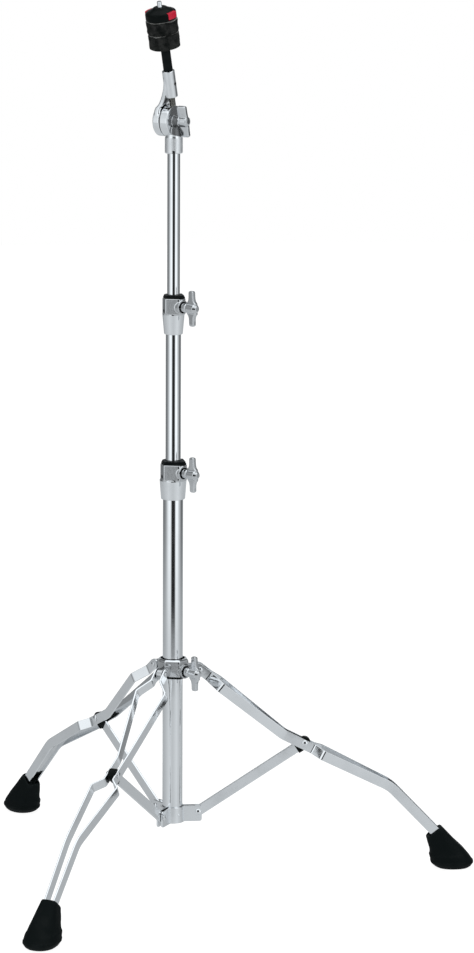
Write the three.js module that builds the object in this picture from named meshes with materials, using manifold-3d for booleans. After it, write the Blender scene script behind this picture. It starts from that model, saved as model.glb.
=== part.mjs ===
// A straight cymbal stand: a double braced folding tripod, three telescoping tubes held by two
// clamps, and a tilter that carries two felts and a quick release mate.
// Millimetres, +Z up. Leg 1 points along +X. Heights are measured from the floor.

import * as THREE from 'three';
import { mergeVertices } from 'three/addons/utils/BufferGeometryUtils.js';
import Module from 'manifold-3d';

const wasm = await Module();
wasm.setup();

// Driving dimensions

const gap = 0.3;
const overrun = 2;

const legCount = 3;
const legPitch = 2 * Math.PI / legCount;

// Feet: heights climb from the floor, and radii are counted outwards from the leg's ankle.
const foot = {
  soleOut: 25.8, soleHalfLength: 19.5, soleHalfWidth: 16.5,
  lipOut: 24.4, lipHeight: 7, lipHalfLength: 27.3, lipHalfWidth: 22.5,
  shoulderOut: 20.4, shoulderRise: 9.5, shoulderHalfLength: 25.6, shoulderHalfWidth: 21.2,
  wristOut: 19.4, wristRise: 2.5, wristHalfLength: 23.4, wristHalfWidth: 18.8,
  bodyOut: 10.6, bodyRise: 12.8, bodyHalfLength: 16.8, bodyHalfWidth: 14.6, bodyTilt: 0.26,
  neckOut: 0.5, neckRise: 15.2, neckHalfLength: 12, neckHalfWidth: 10.4, neckTilt: 0.66,
};
foot.shoulderHeight = foot.lipHeight + foot.shoulderRise;
foot.wristHeight = foot.shoulderHeight + foot.wristRise;
foot.bodyHeight = foot.wristHeight + foot.bodyRise;
foot.neckHeight = foot.bodyHeight + foot.neckRise;

// Legs: the ankle stands in the foot, the knee above it, and the stay's pivot above the knee.
const leg = {
  depth: 12.7, thickness: 2.3, closeHalfSpacing: 5.95,
  stayPivotRadius: 167.4, pivotOffset: 2.23, bendIn: 27.4,
  kneeOut: 109.5, kneeDown: 57.9, kneeHalfSpacing: 7.4,
  ankleOut: 56.3, ankleDown: 59, ankleRise: 2.7,
  upperJoggleStart: 11.5, upperJoggleLength: 14, upperHalfSpacing: 20,
  closeBeforeStay: 40, lowerJoggleStart: 11, lowerJoggleLength: 11, lowerHalfSpacing: 17.3,
  intoFoot: 16, softBend: 9, sharpBend: 2.4,
};
leg.kneeRadius = leg.stayPivotRadius + leg.kneeOut;
leg.ankleRadius = leg.kneeRadius + leg.ankleOut;
leg.ankleHeight = foot.neckHeight + leg.ankleRise;
leg.kneeHeight = leg.ankleHeight + leg.ankleDown;
leg.stayPivotHeight = leg.kneeHeight + leg.kneeDown;
leg.closeInnerFace = leg.closeHalfSpacing - leg.thickness / 2;
leg.closeOuterFace = leg.closeHalfSpacing + leg.thickness / 2;

const rivet = { shank: 2.4, head: 4.2, headHeight: 1.9 };
const stay = { width: 13, thickness: 3 };
const stayCap = { inward: 13, outward: 7.6, wall: 0.9 };
const bracket = {
  pivotRadius: 32.5, pivotDrop: 87.6, height: 20.4, plateDrop: 2, plate: 2.2, earEnd: 4.6, earGap: 0.6,
  corner: 3, dimpleRadius: 2, dimpleHeight: 0.8,
};
bracket.pivotHeight = leg.stayPivotHeight - bracket.pivotDrop;
bracket.middle = bracket.pivotHeight - bracket.plateDrop;

// Tubes: each one is cut to a length, and stands some way inside the tube below it.
const baseTube = { radius: 12.7, wall: 1.2, belowPivot: 11.6, length: 438.6 };
const middleTube = { wall: 1.2, clearance: 1.95, inside: 214, length: 422 };
const upperTube = { wall: 1.2, clearance: 0.4, inside: 168, length: 387.5 };
const glide = { height: 6, spigot: 14 };
baseTube.bottom = bracket.pivotHeight - baseTube.belowPivot;
baseTube.top = baseTube.bottom + baseTube.length;
for (const [tube, outer] of [[middleTube, baseTube], [upperTube, middleTube]]) {
  tube.radius = outer.radius - outer.wall - tube.clearance;
  tube.bottom = outer.top - tube.inside;
  tube.top = tube.bottom + tube.length;
}

const collar = {
  pivotRadius: 34.2, pivotRise: 97.9, below: 7.2, above: 14.5, wall: 3.1, faceReach: 5.1,
  faceHalfWidth: 8, boltAzimuth: -0.86, earHalfHeight: 9.6, earSideGap: 0.9, openPivotGap: 1.7,
  runningGap: 0.9, bushingWall: 1.4, bushingLip: 2,
};
collar.pivotHeight = leg.stayPivotHeight + collar.pivotRise;
collar.bottom = collar.pivotHeight - collar.below;
collar.top = collar.pivotHeight + collar.above;
collar.bushingInner = baseTube.radius + collar.runningGap;
collar.bushingOuter = collar.bushingInner + collar.bushingWall;
collar.radius = collar.bushingOuter + gap + collar.wall;
collar.faceDistance = collar.radius + collar.faceReach;

// Clamps: each one grips the top of its outer tube, and its heights climb from there.
const lowerClamp = {
  tube: baseTube, endGap: 0.5, grip: 23.9, waistRise: 1.5, bodyHeight: 19.2, flangeHeight: 4.3,
  boltRise: 9.2, endWall: 2.4, waistWall: 4.2, bodyWall: 3.2, faceReach: 3.2, faceHalfWidth: 8.4,
  flangeInset: 1, flangeStep: 2, azimuth: -0.86, pegAzimuth: -2.66, pegRise: 4, pegRadius: 2.2,
};
const upperClamp = {
  tube: middleTube, endGap: 0.5, grip: 24, waistRise: 2.5, bodyHeight: 19.1, flangeHeight: 3.9,
  boltRise: 8.5, endWall: 2.05, waistWall: 4.35, bodyWall: 4.2, faceReach: 3.4, faceHalfWidth: 7.8,
  flangeInset: 0.9, flangeStep: 1.9, azimuth: -0.86, pegAzimuth: -2.66, pegRise: 3.5, pegRadius: 1.9,
};
for (const clamp of [lowerClamp, upperClamp]) {
  clamp.shoulder = clamp.tube.top + clamp.endGap;
  clamp.bottom = clamp.shoulder - clamp.grip;
  clamp.waist = clamp.shoulder + clamp.waistRise;
  clamp.top = clamp.waist + clamp.bodyHeight;
  clamp.flangeTop = clamp.top + clamp.flangeHeight;
  clamp.boltHeight = clamp.waist + clamp.boltRise;
  clamp.pegHeight = clamp.waist + clamp.pegRise;
  clamp.bottomRadius = clamp.tube.radius + clamp.endWall;
  clamp.waistRadius = clamp.tube.radius + clamp.waistWall;
  clamp.bodyRadius = clamp.tube.radius + clamp.bodyWall;
  clamp.faceDistance = clamp.bodyRadius + clamp.faceReach;
  // The bushing is as wide as the tube below it, so that it stands on the tube's end.
  clamp.bushingRadius = clamp.tube.radius - gap;
}

const wing = {
  shank: 3.4, collarRadius: 5.2, collarLength: 7.5, hubRadius: 6.2, hubLength: 13.5, domeLength: 3,
  halfSpan: 21.8, bladeWidth: 8.6, bladeRoot: 12, bladeThickness: 4.6, bladeOffset: 8.6, roll: 0.1,
};

// Tilter: places along its axis are counted from the rod's side of the post.
const tilter = {
  azimuth: -0.63, tilt: 0.245, discRadius: 18.7, armDisc: 9.5, washerThickness: 0.8,
  washerInset: 0.8, baseDisc: 10.4, baseFace: 1.7, bossRadius: 9.2, bossLength: 5.9,
  bossEndRadius: 6.6, boltRadius: 3, sleeveGrip: 18.2, sleeveWall: 2.85, sleeveEase: 1.2,
  sleeveRise: 1, neckRise: 13.5, axisRise: 7,
};
tilter.baseSeam = tilter.baseFace - tilter.baseDisc;
tilter.armSeam = tilter.baseSeam - tilter.washerThickness - 2 * gap;
tilter.armFace = tilter.armSeam - tilter.armDisc;
tilter.bossEnd = tilter.baseFace + tilter.bossLength;
tilter.sleeveRadius = upperTube.radius + gap + tilter.sleeveWall;
tilter.sleeveBottom = upperTube.top - tilter.sleeveGrip;
tilter.sleeveTop = upperTube.top + tilter.sleeveRise;
tilter.neckTop = tilter.sleeveTop + tilter.neckRise;
tilter.axisHeight = tilter.neckTop + tilter.axisRise;
const tiltWing = {
  collarRadius: 6.7, collarLength: 1.5, hubRadius: 6.6, hubLength: 10.4, domeLength: 1.4,
  halfSpan: 19.8, bladeWidth: 11.6, bladeRoot: 12.8, bladeThickness: 4.2, bladeOffset: 1.3, roll: 0.25,
};

// What the arm carries: heights climb along the rod from the tilt axis.
const rod = {
  threadRadius: 3, studRadius: 4, bottomRise: 1.1, studInset: 0.2, tipRise: 6.8, chamfer: 0.7,
};
const arm = {
  across: 1.5, sleeveRise: 12.8, sleeveLength: 33.9, sleeveWall: 3.5, screwRise: 17.2,
  screwRadius: 2, screwSocket: 1.1,
};
arm.sleeveRadius = rod.studRadius + gap + arm.sleeveWall;
arm.sleeveBottom = tilter.discRadius + arm.sleeveRise;
arm.top = arm.sleeveBottom + arm.sleeveLength;
arm.screwHeight = arm.sleeveBottom + arm.screwRise;
const seat = { wall: 2.45, height: 29.1, coreWall: 1.2, coreInset: 0.4 };
seat.bottom = arm.top + gap;
seat.shoulder = seat.bottom + seat.height;
seat.bore = rod.threadRadius + gap;
seat.radius = seat.bore + seat.wall;
seat.coreRadius = seat.bore + seat.coreWall;
const lowerFelt = { radius: 18.6, height: 18.9, ease: 2 };
const upperFelt = { radius: 18.1, height: 16.9, ease: 1.6 };
lowerFelt.bottom = seat.shoulder + gap;
lowerFelt.top = lowerFelt.bottom + lowerFelt.height;
upperFelt.bottom = lowerFelt.top + gap;
upperFelt.top = upperFelt.bottom + upperFelt.height;
seat.coreTop = upperFelt.top - seat.coreInset;
const mate = {
  radius: 19.1, rimHeight: 9.5, hubHeight: 5.6, hubRadius: 7.6, ease: 1.2,
  buttonAzimuth: -0.17, buttonWidth: 12.5, buttonHeight: 8.4, buttonRise: 1.5, buttonDepth: 6.7,
  buttonProud: 0.6, buttonTravel: 3,
};
mate.bottom = upperFelt.top + gap;
mate.rimTop = mate.bottom + mate.rimHeight;
mate.hubTop = mate.rimTop + mate.hubHeight;
mate.buttonBottom = mate.bottom + mate.buttonRise;
mate.buttonTop = mate.buttonBottom + mate.buttonHeight;
mate.buttonInner = mate.radius - mate.buttonDepth;
mate.buttonOuter = mate.radius + mate.buttonProud;
rod.bottom = tilter.discRadius + rod.bottomRise;
rod.studTop = arm.top - rod.studInset;
rod.tip = mate.hubTop + rod.tipRise;

// How finely round things are drawn

const tubeSides = 32;
const ringSides = 20;
const smallSides = 12;
const hexSides = 6;
const curveSides = 20;
const bandSides = 12;
const endSides = 6;
const bladeSides = 5;
const bendSides = 2;
const domeAngles = [0.5, 1.1];
const bootSquareness = 3;
const webSquareness = 6;
const neckSquareness = 4;

// Materials

const finish = (color, roughness, metalness) =>
  new THREE.MeshStandardMaterial({ color, roughness, metalness });
const chrome = finish(0xd9dcdf, 0.12, 1);
const casting = finish(0xc3c6c9, 0.3, 1);
const nylon = finish(0x17181a, 0.5, 0);
const rubber = finish(0x141414, 0.85, 0);
const felt = finish(0x26272a, 1, 0);
const brass = finish(0x8d8878, 0.4, 1);
const redPlastic = finish(0xc8102a, 0.25, 0);
const blackPlastic = finish(0x101214, 0.35, 0);
const blackSteel = finish(0x202224, 0.4, 0.8);

// Solids: joins and cuts on plain three.js geometries

const weld = 1e-4;

function solidOf(geometry) {
  const bare = geometry.index ? geometry.toNonIndexed() : geometry.clone();
  bare.deleteAttribute('normal');
  bare.deleteAttribute('uv');
  const merged = mergeVertices(bare, weld);
  const corners = merged.index.array;
  const faces = [];
  for (let i = 0; i < corners.length; i += 3) {
    const [a, b, c] = [corners[i], corners[i + 1], corners[i + 2]];
    if (a !== b && b !== c && c !== a) faces.push(a, b, c);
  }
  return new wasm.Manifold(new wasm.Mesh({
    numProp: 3,
    vertProperties: new Float32Array(merged.attributes.position.array),
    triVerts: new Uint32Array(faces),
  }));
}

function geometryOf(solid) {
  const mesh = solid.getMesh();
  const geometry = new THREE.BufferGeometry();
  geometry.setAttribute('position', new THREE.BufferAttribute(mesh.vertProperties, 3));
  geometry.setIndex(new THREE.BufferAttribute(mesh.triVerts, 1));
  return geometry;
}

const join = (...pieces) => geometryOf(pieces.map(solidOf).reduce((whole, piece) => whole.add(piece)));
const cut = (piece, ...tools) =>
  geometryOf(tools.map(solidOf).reduce((rest, tool) => rest.subtract(tool), solidOf(piece)));
const common = (piece, other) => geometryOf(solidOf(piece).intersect(solidOf(other)));

// Shapes, each round about Z unless it says otherwise

// A turned body; its profile runs up the outside, as pairs of radius and height.
function turned(profile, sides) {
  const points = profile.map(([radius, height]) => new THREE.Vector2(radius, height));
  return new THREE.LatheGeometry(points, sides).rotateX(Math.PI / 2);
}

function bar(radius, from, to, sides = smallSides) {
  return turned([[0, from], [radius, from], [radius, to], [0, to]], sides);
}

function pipe(outer, inner, from, to, sides = tubeSides) {
  return turned([[inner, from], [outer, from], [outer, to], [inner, to], [inner, from]], sides);
}

function slab(shape, from, to, curveSegments = endSides) {
  const options = { depth: to - from, bevelEnabled: false, curveSegments };
  return new THREE.ExtrudeGeometry(shape, options).translate(0, 0, from);
}

function box(x, y, z) {
  const centre = [x, y, z].map(([from, to]) => (from + to) / 2);
  return new THREE.BoxGeometry(x[1] - x[0], y[1] - y[0], z[1] - z[0]).translate(...centre);
}

// Turns what was made along Z so that it lies along X.
const alongX = (geometry) => geometry.rotateY(Math.PI / 2);

// Turns a side view, drawn as radius and height, into a leg's upright plane.
const upright = (geometry) => geometry.rotateX(Math.PI / 2);

function polygon(points) {
  return new THREE.Shape(points.map(([x, y]) => new THREE.Vector2(x, y)));
}

// Skins a row of rings that have the same number of points, and closes both ends.
function skinned(rings) {
  const count = rings[0].length;
  const positions = rings.flat().flatMap((point) => [point.x, point.y, point.z]);
  const faces = [];
  for (let ring = 0; ring < rings.length - 1; ring++) {
    for (let i = 0; i < count; i++) {
      const a = ring * count + i;
      const b = ring * count + (i + 1) % count;
      faces.push(a, b, a + count, b, b + count, a + count);
    }
  }
  const last = (rings.length - 1) * count;
  for (let i = 1; i < count - 1; i++) {
    faces.push(0, i + 1, i);
    faces.push(last, last + i, last + i + 1);
  }
  const geometry = new THREE.BufferGeometry();
  geometry.setAttribute('position', new THREE.Float32BufferAttribute(positions, 3));
  geometry.setIndex(faces);
  return geometry;
}

// A rounded ring in a leg's plane: long by halfLength, wide by halfWidth, and tilted.
function ring(radius, height, halfLength, halfWidth, tilt, power = bootSquareness) {
  const points = [];
  for (let i = 0; i < ringSides; i++) {
    const angle = 2 * Math.PI * i / ringSides;
    const [c, s] = [Math.cos(angle), Math.sin(angle)];
    const size = (Math.abs(c) ** power + Math.abs(s) ** power) ** (-1 / power);
    const along = halfLength * size * c;
    points.push(new THREE.Vector3(
      radius + along * Math.cos(tilt), halfWidth * size * s, height + along * Math.sin(tilt)));
  }
  return points;
}

// The outline of a clamp seen from above: round about the tube, with a block out to a flat face.
function pearShape(radius, faceDistance, faceHalfWidth) {
  const distance = Math.hypot(faceDistance, faceHalfWidth);
  const tangent = Math.atan2(faceHalfWidth, faceDistance) + Math.acos(radius / distance);
  const shape = new THREE.Shape();
  shape.moveTo(faceDistance, -faceHalfWidth);
  shape.lineTo(faceDistance, faceHalfWidth);
  shape.absarc(0, 0, radius, tangent, 2 * Math.PI - tangent, false);
  shape.closePath();
  return shape;
}

// A rivet along Z with a domed head at each end.
function rivetAlongZ(grip) {
  const dome = domeAngles.map((angle) => [
    rivet.head * Math.cos(angle), grip + rivet.headHeight * Math.sin(angle)]);
  const top = [[rivet.shank, grip], [rivet.head, grip], ...dome, [0, grip + rivet.headHeight]];
  const bottom = top.map(([radius, height]) => [radius, -height]).reverse();
  return turned([...bottom, ...top], smallSides);
}

// Named meshes

const stand = new THREE.Group();

function add(parent, name, geometry, material) {
  const mesh = new THREE.Mesh(geometry, material);
  mesh.name = name;
  parent.add(mesh);
  return mesh;
}

function turnedGroup(azimuth) {
  const group = new THREE.Group();
  group.rotation.z = azimuth;
  stand.add(group);
  return group;
}

// Tubes and the glides on their lower ends

function addTube(name, tube) {
  add(stand, name, pipe(tube.radius, tube.radius - tube.wall, tube.bottom, tube.top), chrome);
}

function addGlide(name, inner, outer) {
  const flange = outer.radius - outer.wall - gap;
  const spigot = inner.radius - inner.wall - gap;
  const seatHeight = inner.bottom - gap;
  const geometry = turned([
    [0, seatHeight - glide.height], [flange, seatHeight - glide.height], [flange, seatHeight],
    [spigot, seatHeight], [spigot, seatHeight + glide.spigot], [0, seatHeight + glide.spigot],
  ], tubeSides);
  add(stand, name, geometry, nylon);
}

// Stay bracket: one plate from each leg round the tube to the next leg

const earInner = stay.thickness / 2 + bracket.earGap;
const earOuter = earInner + bracket.plate;
const bracketBottom = bracket.middle - bracket.height / 2;
const bracketTop = bracket.middle + bracket.height / 2;

function bracketEar(side) {
  const inner = baseTube.radius + gap + bracket.plate / 2;
  const outer = bracket.pivotRadius + bracket.earEnd;
  const c = bracket.corner;
  const shape = polygon([
    [inner, bracketBottom], [outer - c, bracketBottom], [outer, bracketBottom + c],
    [outer, bracketTop - c], [outer - c, bracketTop], [inner, bracketTop],
  ]);
  const ear = upright(slab(shape, -earOuter, -earInner));
  const hole = upright(bar(rivet.shank + gap, -earOuter - overrun, -earInner + overrun)
    .translate(bracket.pivotRadius, bracket.pivotHeight, 0));
  const drilled = cut(ear, hole);
  return side > 0 ? drilled : drilled.translate(0, -earOuter - earInner, 0);
}

function bracketPlate() {
  const inner = baseTube.radius + gap;
  const outer = inner + bracket.plate;
  const margin = Math.asin(earInner / inner);
  const shape = new THREE.Shape();
  shape.absarc(0, 0, outer, margin, legPitch - margin, false);
  shape.absarc(0, 0, inner, legPitch - margin, margin, true);
  shape.closePath();
  const band = slab(shape, bracketBottom, bracketTop, bandSides);
  const dimpleTop = outer + bracket.dimpleHeight;
  const dimple = alongX(bar(bracket.dimpleRadius, inner + bracket.plate / 2, dimpleTop))
    .translate(0, 0, bracket.middle)
    .rotateZ(legPitch / 2);
  return join(band, bracketEar(1), bracketEar(-1).rotateZ(legPitch), dimple);
}

// Stays: a flat bar from the bracket to the leg, with a cap on its outer end

const stayRun = leg.stayPivotRadius - bracket.pivotRadius;
const stayRise = leg.stayPivotHeight - bracket.pivotHeight;
const stayLength = Math.hypot(stayRun, stayRise);
const staySlope = Math.atan2(stayRise, stayRun);

// Lays what was drawn from the bracket's pivot along the stay into the leg's plane.
function inStayPlane(geometry) {
  return upright(geometry.rotateZ(staySlope).translate(bracket.pivotRadius, bracket.pivotHeight, 0));
}

function roundEnded(length, radius) {
  const shape = new THREE.Shape();
  shape.absarc(length, 0, radius, -Math.PI / 2, Math.PI / 2, false);
  shape.absarc(0, 0, radius, Math.PI / 2, 3 * Math.PI / 2, false);
  shape.closePath();
  return shape;
}

function stayBar() {
  const half = stay.thickness / 2;
  const flat = slab(roundEnded(stayLength, stay.width / 2), -half, half);
  const hole = bar(rivet.shank + gap, -half - overrun, half + overrun);
  return inStayPlane(cut(flat, hole, hole.clone().translate(stayLength, 0, 0)));
}

function stayCapSolid() {
  const half = leg.closeInnerFace - gap;
  const slotHalf = stay.thickness / 2 + gap;
  const slotRadius = stay.width / 2 + gap;
  const radius = slotRadius + stayCap.wall;
  const outline = new THREE.Shape();
  outline.absarc(stayCap.outward - radius, 0, radius, -Math.PI / 2, Math.PI / 2, false);
  outline.lineTo(-stayCap.inward, radius);
  outline.lineTo(-stayCap.inward, -radius);
  outline.closePath();
  const pocketLength = stayCap.inward + overrun;
  const pocket = slab(roundEnded(pocketLength, slotRadius), -slotHalf, slotHalf)
    .translate(-pocketLength, 0, 0);
  const hole = bar(rivet.shank + gap, -half - overrun, half + overrun);
  const cap = cut(slab(outline, -half, half), pocket, hole);
  return inStayPlane(cap.translate(stayLength, 0, 0));
}

// Legs: two strips each, from the collar's ear down to the foot

function onLine(from, to, radius) {
  const share = (radius - from.x) / (to.x - from.x);
  return from.z + share * (to.z - from.z);
}

function legStations() {
  const top = { x: collar.pivotRadius, z: collar.pivotHeight };
  const underPivot = { x: leg.stayPivotRadius, z: leg.stayPivotHeight - leg.pivotOffset };
  const knee = { x: leg.kneeRadius, z: leg.kneeHeight };
  const bendRadius = leg.stayPivotRadius - leg.bendIn;
  const bend = { x: bendRadius, z: onLine(underPivot, knee, bendRadius) };
  const ankle = { x: leg.ankleRadius, z: leg.ankleHeight };
  const legEnd = Math.atan2(knee.z - ankle.z, ankle.x - knee.x);
  const upper = collar.pivotRadius + leg.upperJoggleStart;
  const wide = upper + leg.upperJoggleLength;
  const close = leg.stayPivotRadius - leg.closeBeforeStay;
  const lower = leg.stayPivotRadius + leg.lowerJoggleStart;
  const lowerWide = lower + leg.lowerJoggleLength;
  return [
    [top.x, top.z, leg.closeHalfSpacing, 0],
    [upper, onLine(top, bend, upper), leg.closeHalfSpacing, leg.sharpBend],
    [wide, onLine(top, bend, wide), leg.upperHalfSpacing, leg.sharpBend],
    [close, onLine(top, bend, close), leg.closeHalfSpacing, leg.sharpBend],
    [bend.x, bend.z, leg.closeHalfSpacing, leg.softBend],
    [lower, onLine(bend, knee, lower), leg.closeHalfSpacing, leg.sharpBend],
    [lowerWide, onLine(bend, knee, lowerWide), leg.lowerHalfSpacing, leg.sharpBend],
    [knee.x, knee.z, leg.kneeHalfSpacing, leg.softBend],
    [ankle.x, ankle.z, leg.closeHalfSpacing, leg.sharpBend],
    [ankle.x + leg.intoFoot * Math.cos(legEnd), ankle.z - leg.intoFoot * Math.sin(legEnd),
      leg.closeHalfSpacing, 0],
  ];
}

// Rounds each corner of a route by its own trim length.
function easedRoute(stations, side) {
  const points = stations.map(([x, z, spacing]) => new THREE.Vector3(x, side * spacing, z));
  const route = [points[0]];
  for (let i = 1; i < points.length - 1; i++) {
    const trim = stations[i][3];
    const before = points[i].clone().lerp(points[i - 1], trim / points[i].distanceTo(points[i - 1]));
    const after = points[i].clone().lerp(points[i + 1], trim / points[i].distanceTo(points[i + 1]));
    route.push(...new THREE.QuadraticBezierCurve3(before, points[i], after).getPoints(bendSides));
  }
  route.push(points.at(-1));
  return route;
}

function legStrip(side) {
  const route = easedRoute(legStations(), side);
  const rings = route.map((point, i) => {
    const ahead = route[Math.min(i + 1, route.length - 1)];
    const behind = route[Math.max(i - 1, 0)];
    const along = ahead.clone().sub(behind).normalize();
    const inPlane = new THREE.Vector3(-along.z, 0, along.x).normalize();
    const across = new THREE.Vector3().crossVectors(inPlane, along);
    const d = inPlane.multiplyScalar(leg.depth / 2);
    const t = across.multiplyScalar(leg.thickness / 2);
    return [[1, 1], [1, -1], [-1, -1], [-1, 1]].map(([a, b]) =>
      point.clone().addScaledVector(d, a).addScaledVector(t, b));
  });
  const from = side * leg.closeHalfSpacing - leg.thickness / 2;
  const to = from + leg.thickness;
  const place = (geometry, radius, height) => upright(geometry).translate(radius, 0, height);
  const eye = place(
    bar(leg.depth / 2, -to, -from, ringSides), collar.pivotRadius, collar.pivotHeight);
  const hole = bar(rivet.shank + gap, -to - overrun, -from + overrun);
  return cut(
    join(skinned(rings), eye),
    place(hole.clone(), collar.pivotRadius, collar.pivotHeight),
    place(hole, leg.stayPivotRadius, leg.stayPivotHeight));
}

// Feet: rubber boots with a flat sole and a socket for both strips

function footSolid() {
  const at = (out) => leg.ankleRadius + out;
  const body = skinned([
    ring(at(foot.soleOut), 0, foot.soleHalfLength, foot.soleHalfWidth, 0),
    ring(at(foot.lipOut), foot.lipHeight, foot.lipHalfLength, foot.lipHalfWidth, 0),
    ring(at(foot.shoulderOut), foot.shoulderHeight,
      foot.shoulderHalfLength, foot.shoulderHalfWidth, 0),
    ring(at(foot.wristOut), foot.wristHeight, foot.wristHalfLength, foot.wristHalfWidth, 0),
    ring(at(foot.bodyOut), foot.bodyHeight, foot.bodyHalfLength, foot.bodyHalfWidth, foot.bodyTilt),
    ring(at(foot.neckOut), foot.neckHeight, foot.neckHalfLength, foot.neckHalfWidth,
      foot.neckTilt, neckSquareness),
  ]);
  const slope = Math.atan2(leg.kneeHeight - leg.ankleHeight, leg.ankleRadius - leg.kneeRadius);
  const halfDepth = leg.depth / 2 + gap;
  const halfWidth = leg.closeOuterFace + gap;
  const along = [-leg.intoFoot, leg.intoFoot + gap];
  const socket = box(along, [-halfWidth, halfWidth], [-halfDepth, halfDepth])
    .rotateY(slope)
    .translate(leg.ankleRadius, 0, leg.ankleHeight);
  return cut(body, socket);
}

// Collar: a cast ring with three ears and a bolt boss, over a nylon bushing

function collarEar(pinGap) {
  const half = leg.closeInnerFace - collar.earSideGap;
  const middle = (collar.bottom + collar.top) / 2;
  const reach = leg.depth / 2;
  const distance = collar.pivotRadius - collar.radius;
  const tangent = Math.PI / 2 + Math.atan2(collar.earHalfHeight - reach, distance);
  const outline = new THREE.Shape();
  outline.moveTo(collar.radius - overrun, middle + collar.earHalfHeight);
  outline.lineTo(collar.radius - overrun, middle - collar.earHalfHeight);
  outline.absarc(collar.pivotRadius, collar.pivotHeight, reach, -tangent, tangent, false);
  outline.closePath();
  const ear = slab(outline, -half, half);
  const hole = bar(rivet.shank + pinGap, -half - overrun, half + overrun)
    .translate(collar.pivotRadius, collar.pivotHeight, 0);
  return upright(cut(ear, hole));
}

function collarBody() {
  const outline = pearShape(collar.radius, collar.faceDistance, collar.faceHalfWidth);
  const pear = slab(outline, collar.bottom, collar.top, curveSides).rotateZ(collar.boltAzimuth);
  const ears = [gap, collar.openPivotGap, collar.openPivotGap].map((pinGap, i) =>
    collarEar(pinGap).rotateZ(i * legPitch));
  const bore = bar(
    collar.bushingOuter + gap, collar.bottom - overrun, collar.top + overrun, tubeSides);
  const boltHole = alongX(bar(wing.shank + gap, 0, collar.faceDistance + overrun))
    .translate(0, 0, collar.pivotHeight)
    .rotateZ(collar.boltAzimuth);
  return cut(join(pear, ...ears), bore, boltHole);
}

function collarBushing() {
  const lipTop = collar.bottom - gap;
  const bottom = lipTop - collar.bushingLip;
  const sleeve = bar(collar.bushingOuter, bottom, collar.top, tubeSides);
  const lipShape = pearShape(
    collar.radius - gap, collar.faceDistance - overrun, collar.faceHalfWidth - gap);
  const lip = slab(lipShape, bottom, lipTop, curveSides).rotateZ(collar.boltAzimuth);
  const bore = bar(collar.bushingInner, bottom - overrun, collar.top + overrun, tubeSides);
  return cut(join(sleeve, lip), bore);
}

// Wing bolts, along X from the outside of what they press on

function wingBolt(size, shank, shankFrom, face) {
  const start = face + gap;
  const wingStart = start + size.collarLength;
  const end = wingStart + size.hubLength;
  const hub = alongX(turned([
    [0, shankFrom], [shank, shankFrom], [shank, start], [size.collarRadius, start],
    [size.collarRadius, wingStart], [size.hubRadius, wingStart + overrun], [size.hubRadius, end],
    [size.hubRadius / 2, end + size.domeLength], [0, end + size.domeLength],
  ], smallSides));
  const blade = size.bladeWidth / 2;
  const root = size.bladeRoot / 2;
  const middle = start + size.bladeOffset + root;
  const tip = size.halfSpan - blade;
  const outline = new THREE.Shape();
  outline.moveTo(-root, 0);
  outline.quadraticCurveTo(-blade, tip / 2, -blade, tip);
  outline.absarc(0, tip, blade, Math.PI, 0, true);
  outline.quadraticCurveTo(blade, tip / 2, root, 0);
  outline.quadraticCurveTo(blade, -tip / 2, blade, -tip);
  outline.absarc(0, -tip, blade, 0, -Math.PI, true);
  outline.quadraticCurveTo(-blade, -tip / 2, -root, 0);
  const half = size.bladeThickness / 2;
  const blades = upright(new THREE.ExtrudeGeometry(outline, {
    depth: half, bevelEnabled: true, bevelThickness: half / 2, bevelSize: half / 2,
    bevelOffset: -half / 2, bevelSegments: 1, curveSegments: bladeSides,
  }).translate(0, 0, -half / 2)).translate(middle, 0, 0);
  return join(hub, blades).rotateX(size.roll);
}

// Clamps: a casting on the outer tube's top, a bushing round the inner tube, and a wing bolt

function clampCasting(clamp) {
  const sleeve = turned([
    [0, clamp.bottom], [clamp.bottomRadius, clamp.bottom], [clamp.waistRadius, clamp.waist],
    [clamp.bodyRadius - overrun, clamp.waist + overrun], [0, clamp.waist + overrun],
  ], tubeSides);
  const outline = pearShape(clamp.bodyRadius, clamp.faceDistance, clamp.faceHalfWidth);
  const block = slab(outline, clamp.waist, clamp.top, curveSides).rotateZ(clamp.azimuth);
  const lowerBore = bar(
    clamp.tube.radius + gap, clamp.bottom - overrun, clamp.shoulder, tubeSides);
  const upperBore = bar(
    clamp.bushingRadius + gap, clamp.shoulder - overrun, clamp.top + overrun, tubeSides);
  const boltHole = alongX(bar(wing.shank + gap, 0, clamp.faceDistance + overrun))
    .translate(0, 0, clamp.boltHeight)
    .rotateZ(clamp.azimuth);
  const pegHole = alongX(bar(clamp.pegRadius + gap, 0, clamp.waistRadius + overrun))
    .translate(0, 0, clamp.pegHeight)
    .rotateZ(clamp.pegAzimuth);
  return cut(join(sleeve, block), lowerBore, upperBore, boltHole, pegHole);
}

function clampBushing(clamp, inner) {
  const innerBore = inner.radius + gap;
  const flangeBottom = clamp.top + gap;
  const sleeve = bar(
    clamp.bushingRadius, clamp.shoulder + gap, flangeBottom + overrun, tubeSides);
  const layer = (inset, top) => slab(
    pearShape(clamp.bodyRadius - inset, clamp.faceDistance - inset, clamp.faceHalfWidth - inset),
    flangeBottom, top, curveSides).rotateZ(clamp.azimuth);
  const flange = layer(clamp.flangeInset, flangeBottom + clamp.flangeStep);
  const step = layer(2 * clamp.flangeInset, clamp.flangeTop);
  const peg = alongX(bar(clamp.pegRadius, innerBore + gap, clamp.bodyRadius))
    .translate(0, 0, clamp.pegHeight)
    .rotateZ(clamp.pegAzimuth);
  const bore = bar(innerBore, clamp.shoulder - overrun, clamp.flangeTop + overrun, tubeSides);
  return cut(join(sleeve, flange, step, peg), bore);
}

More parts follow.
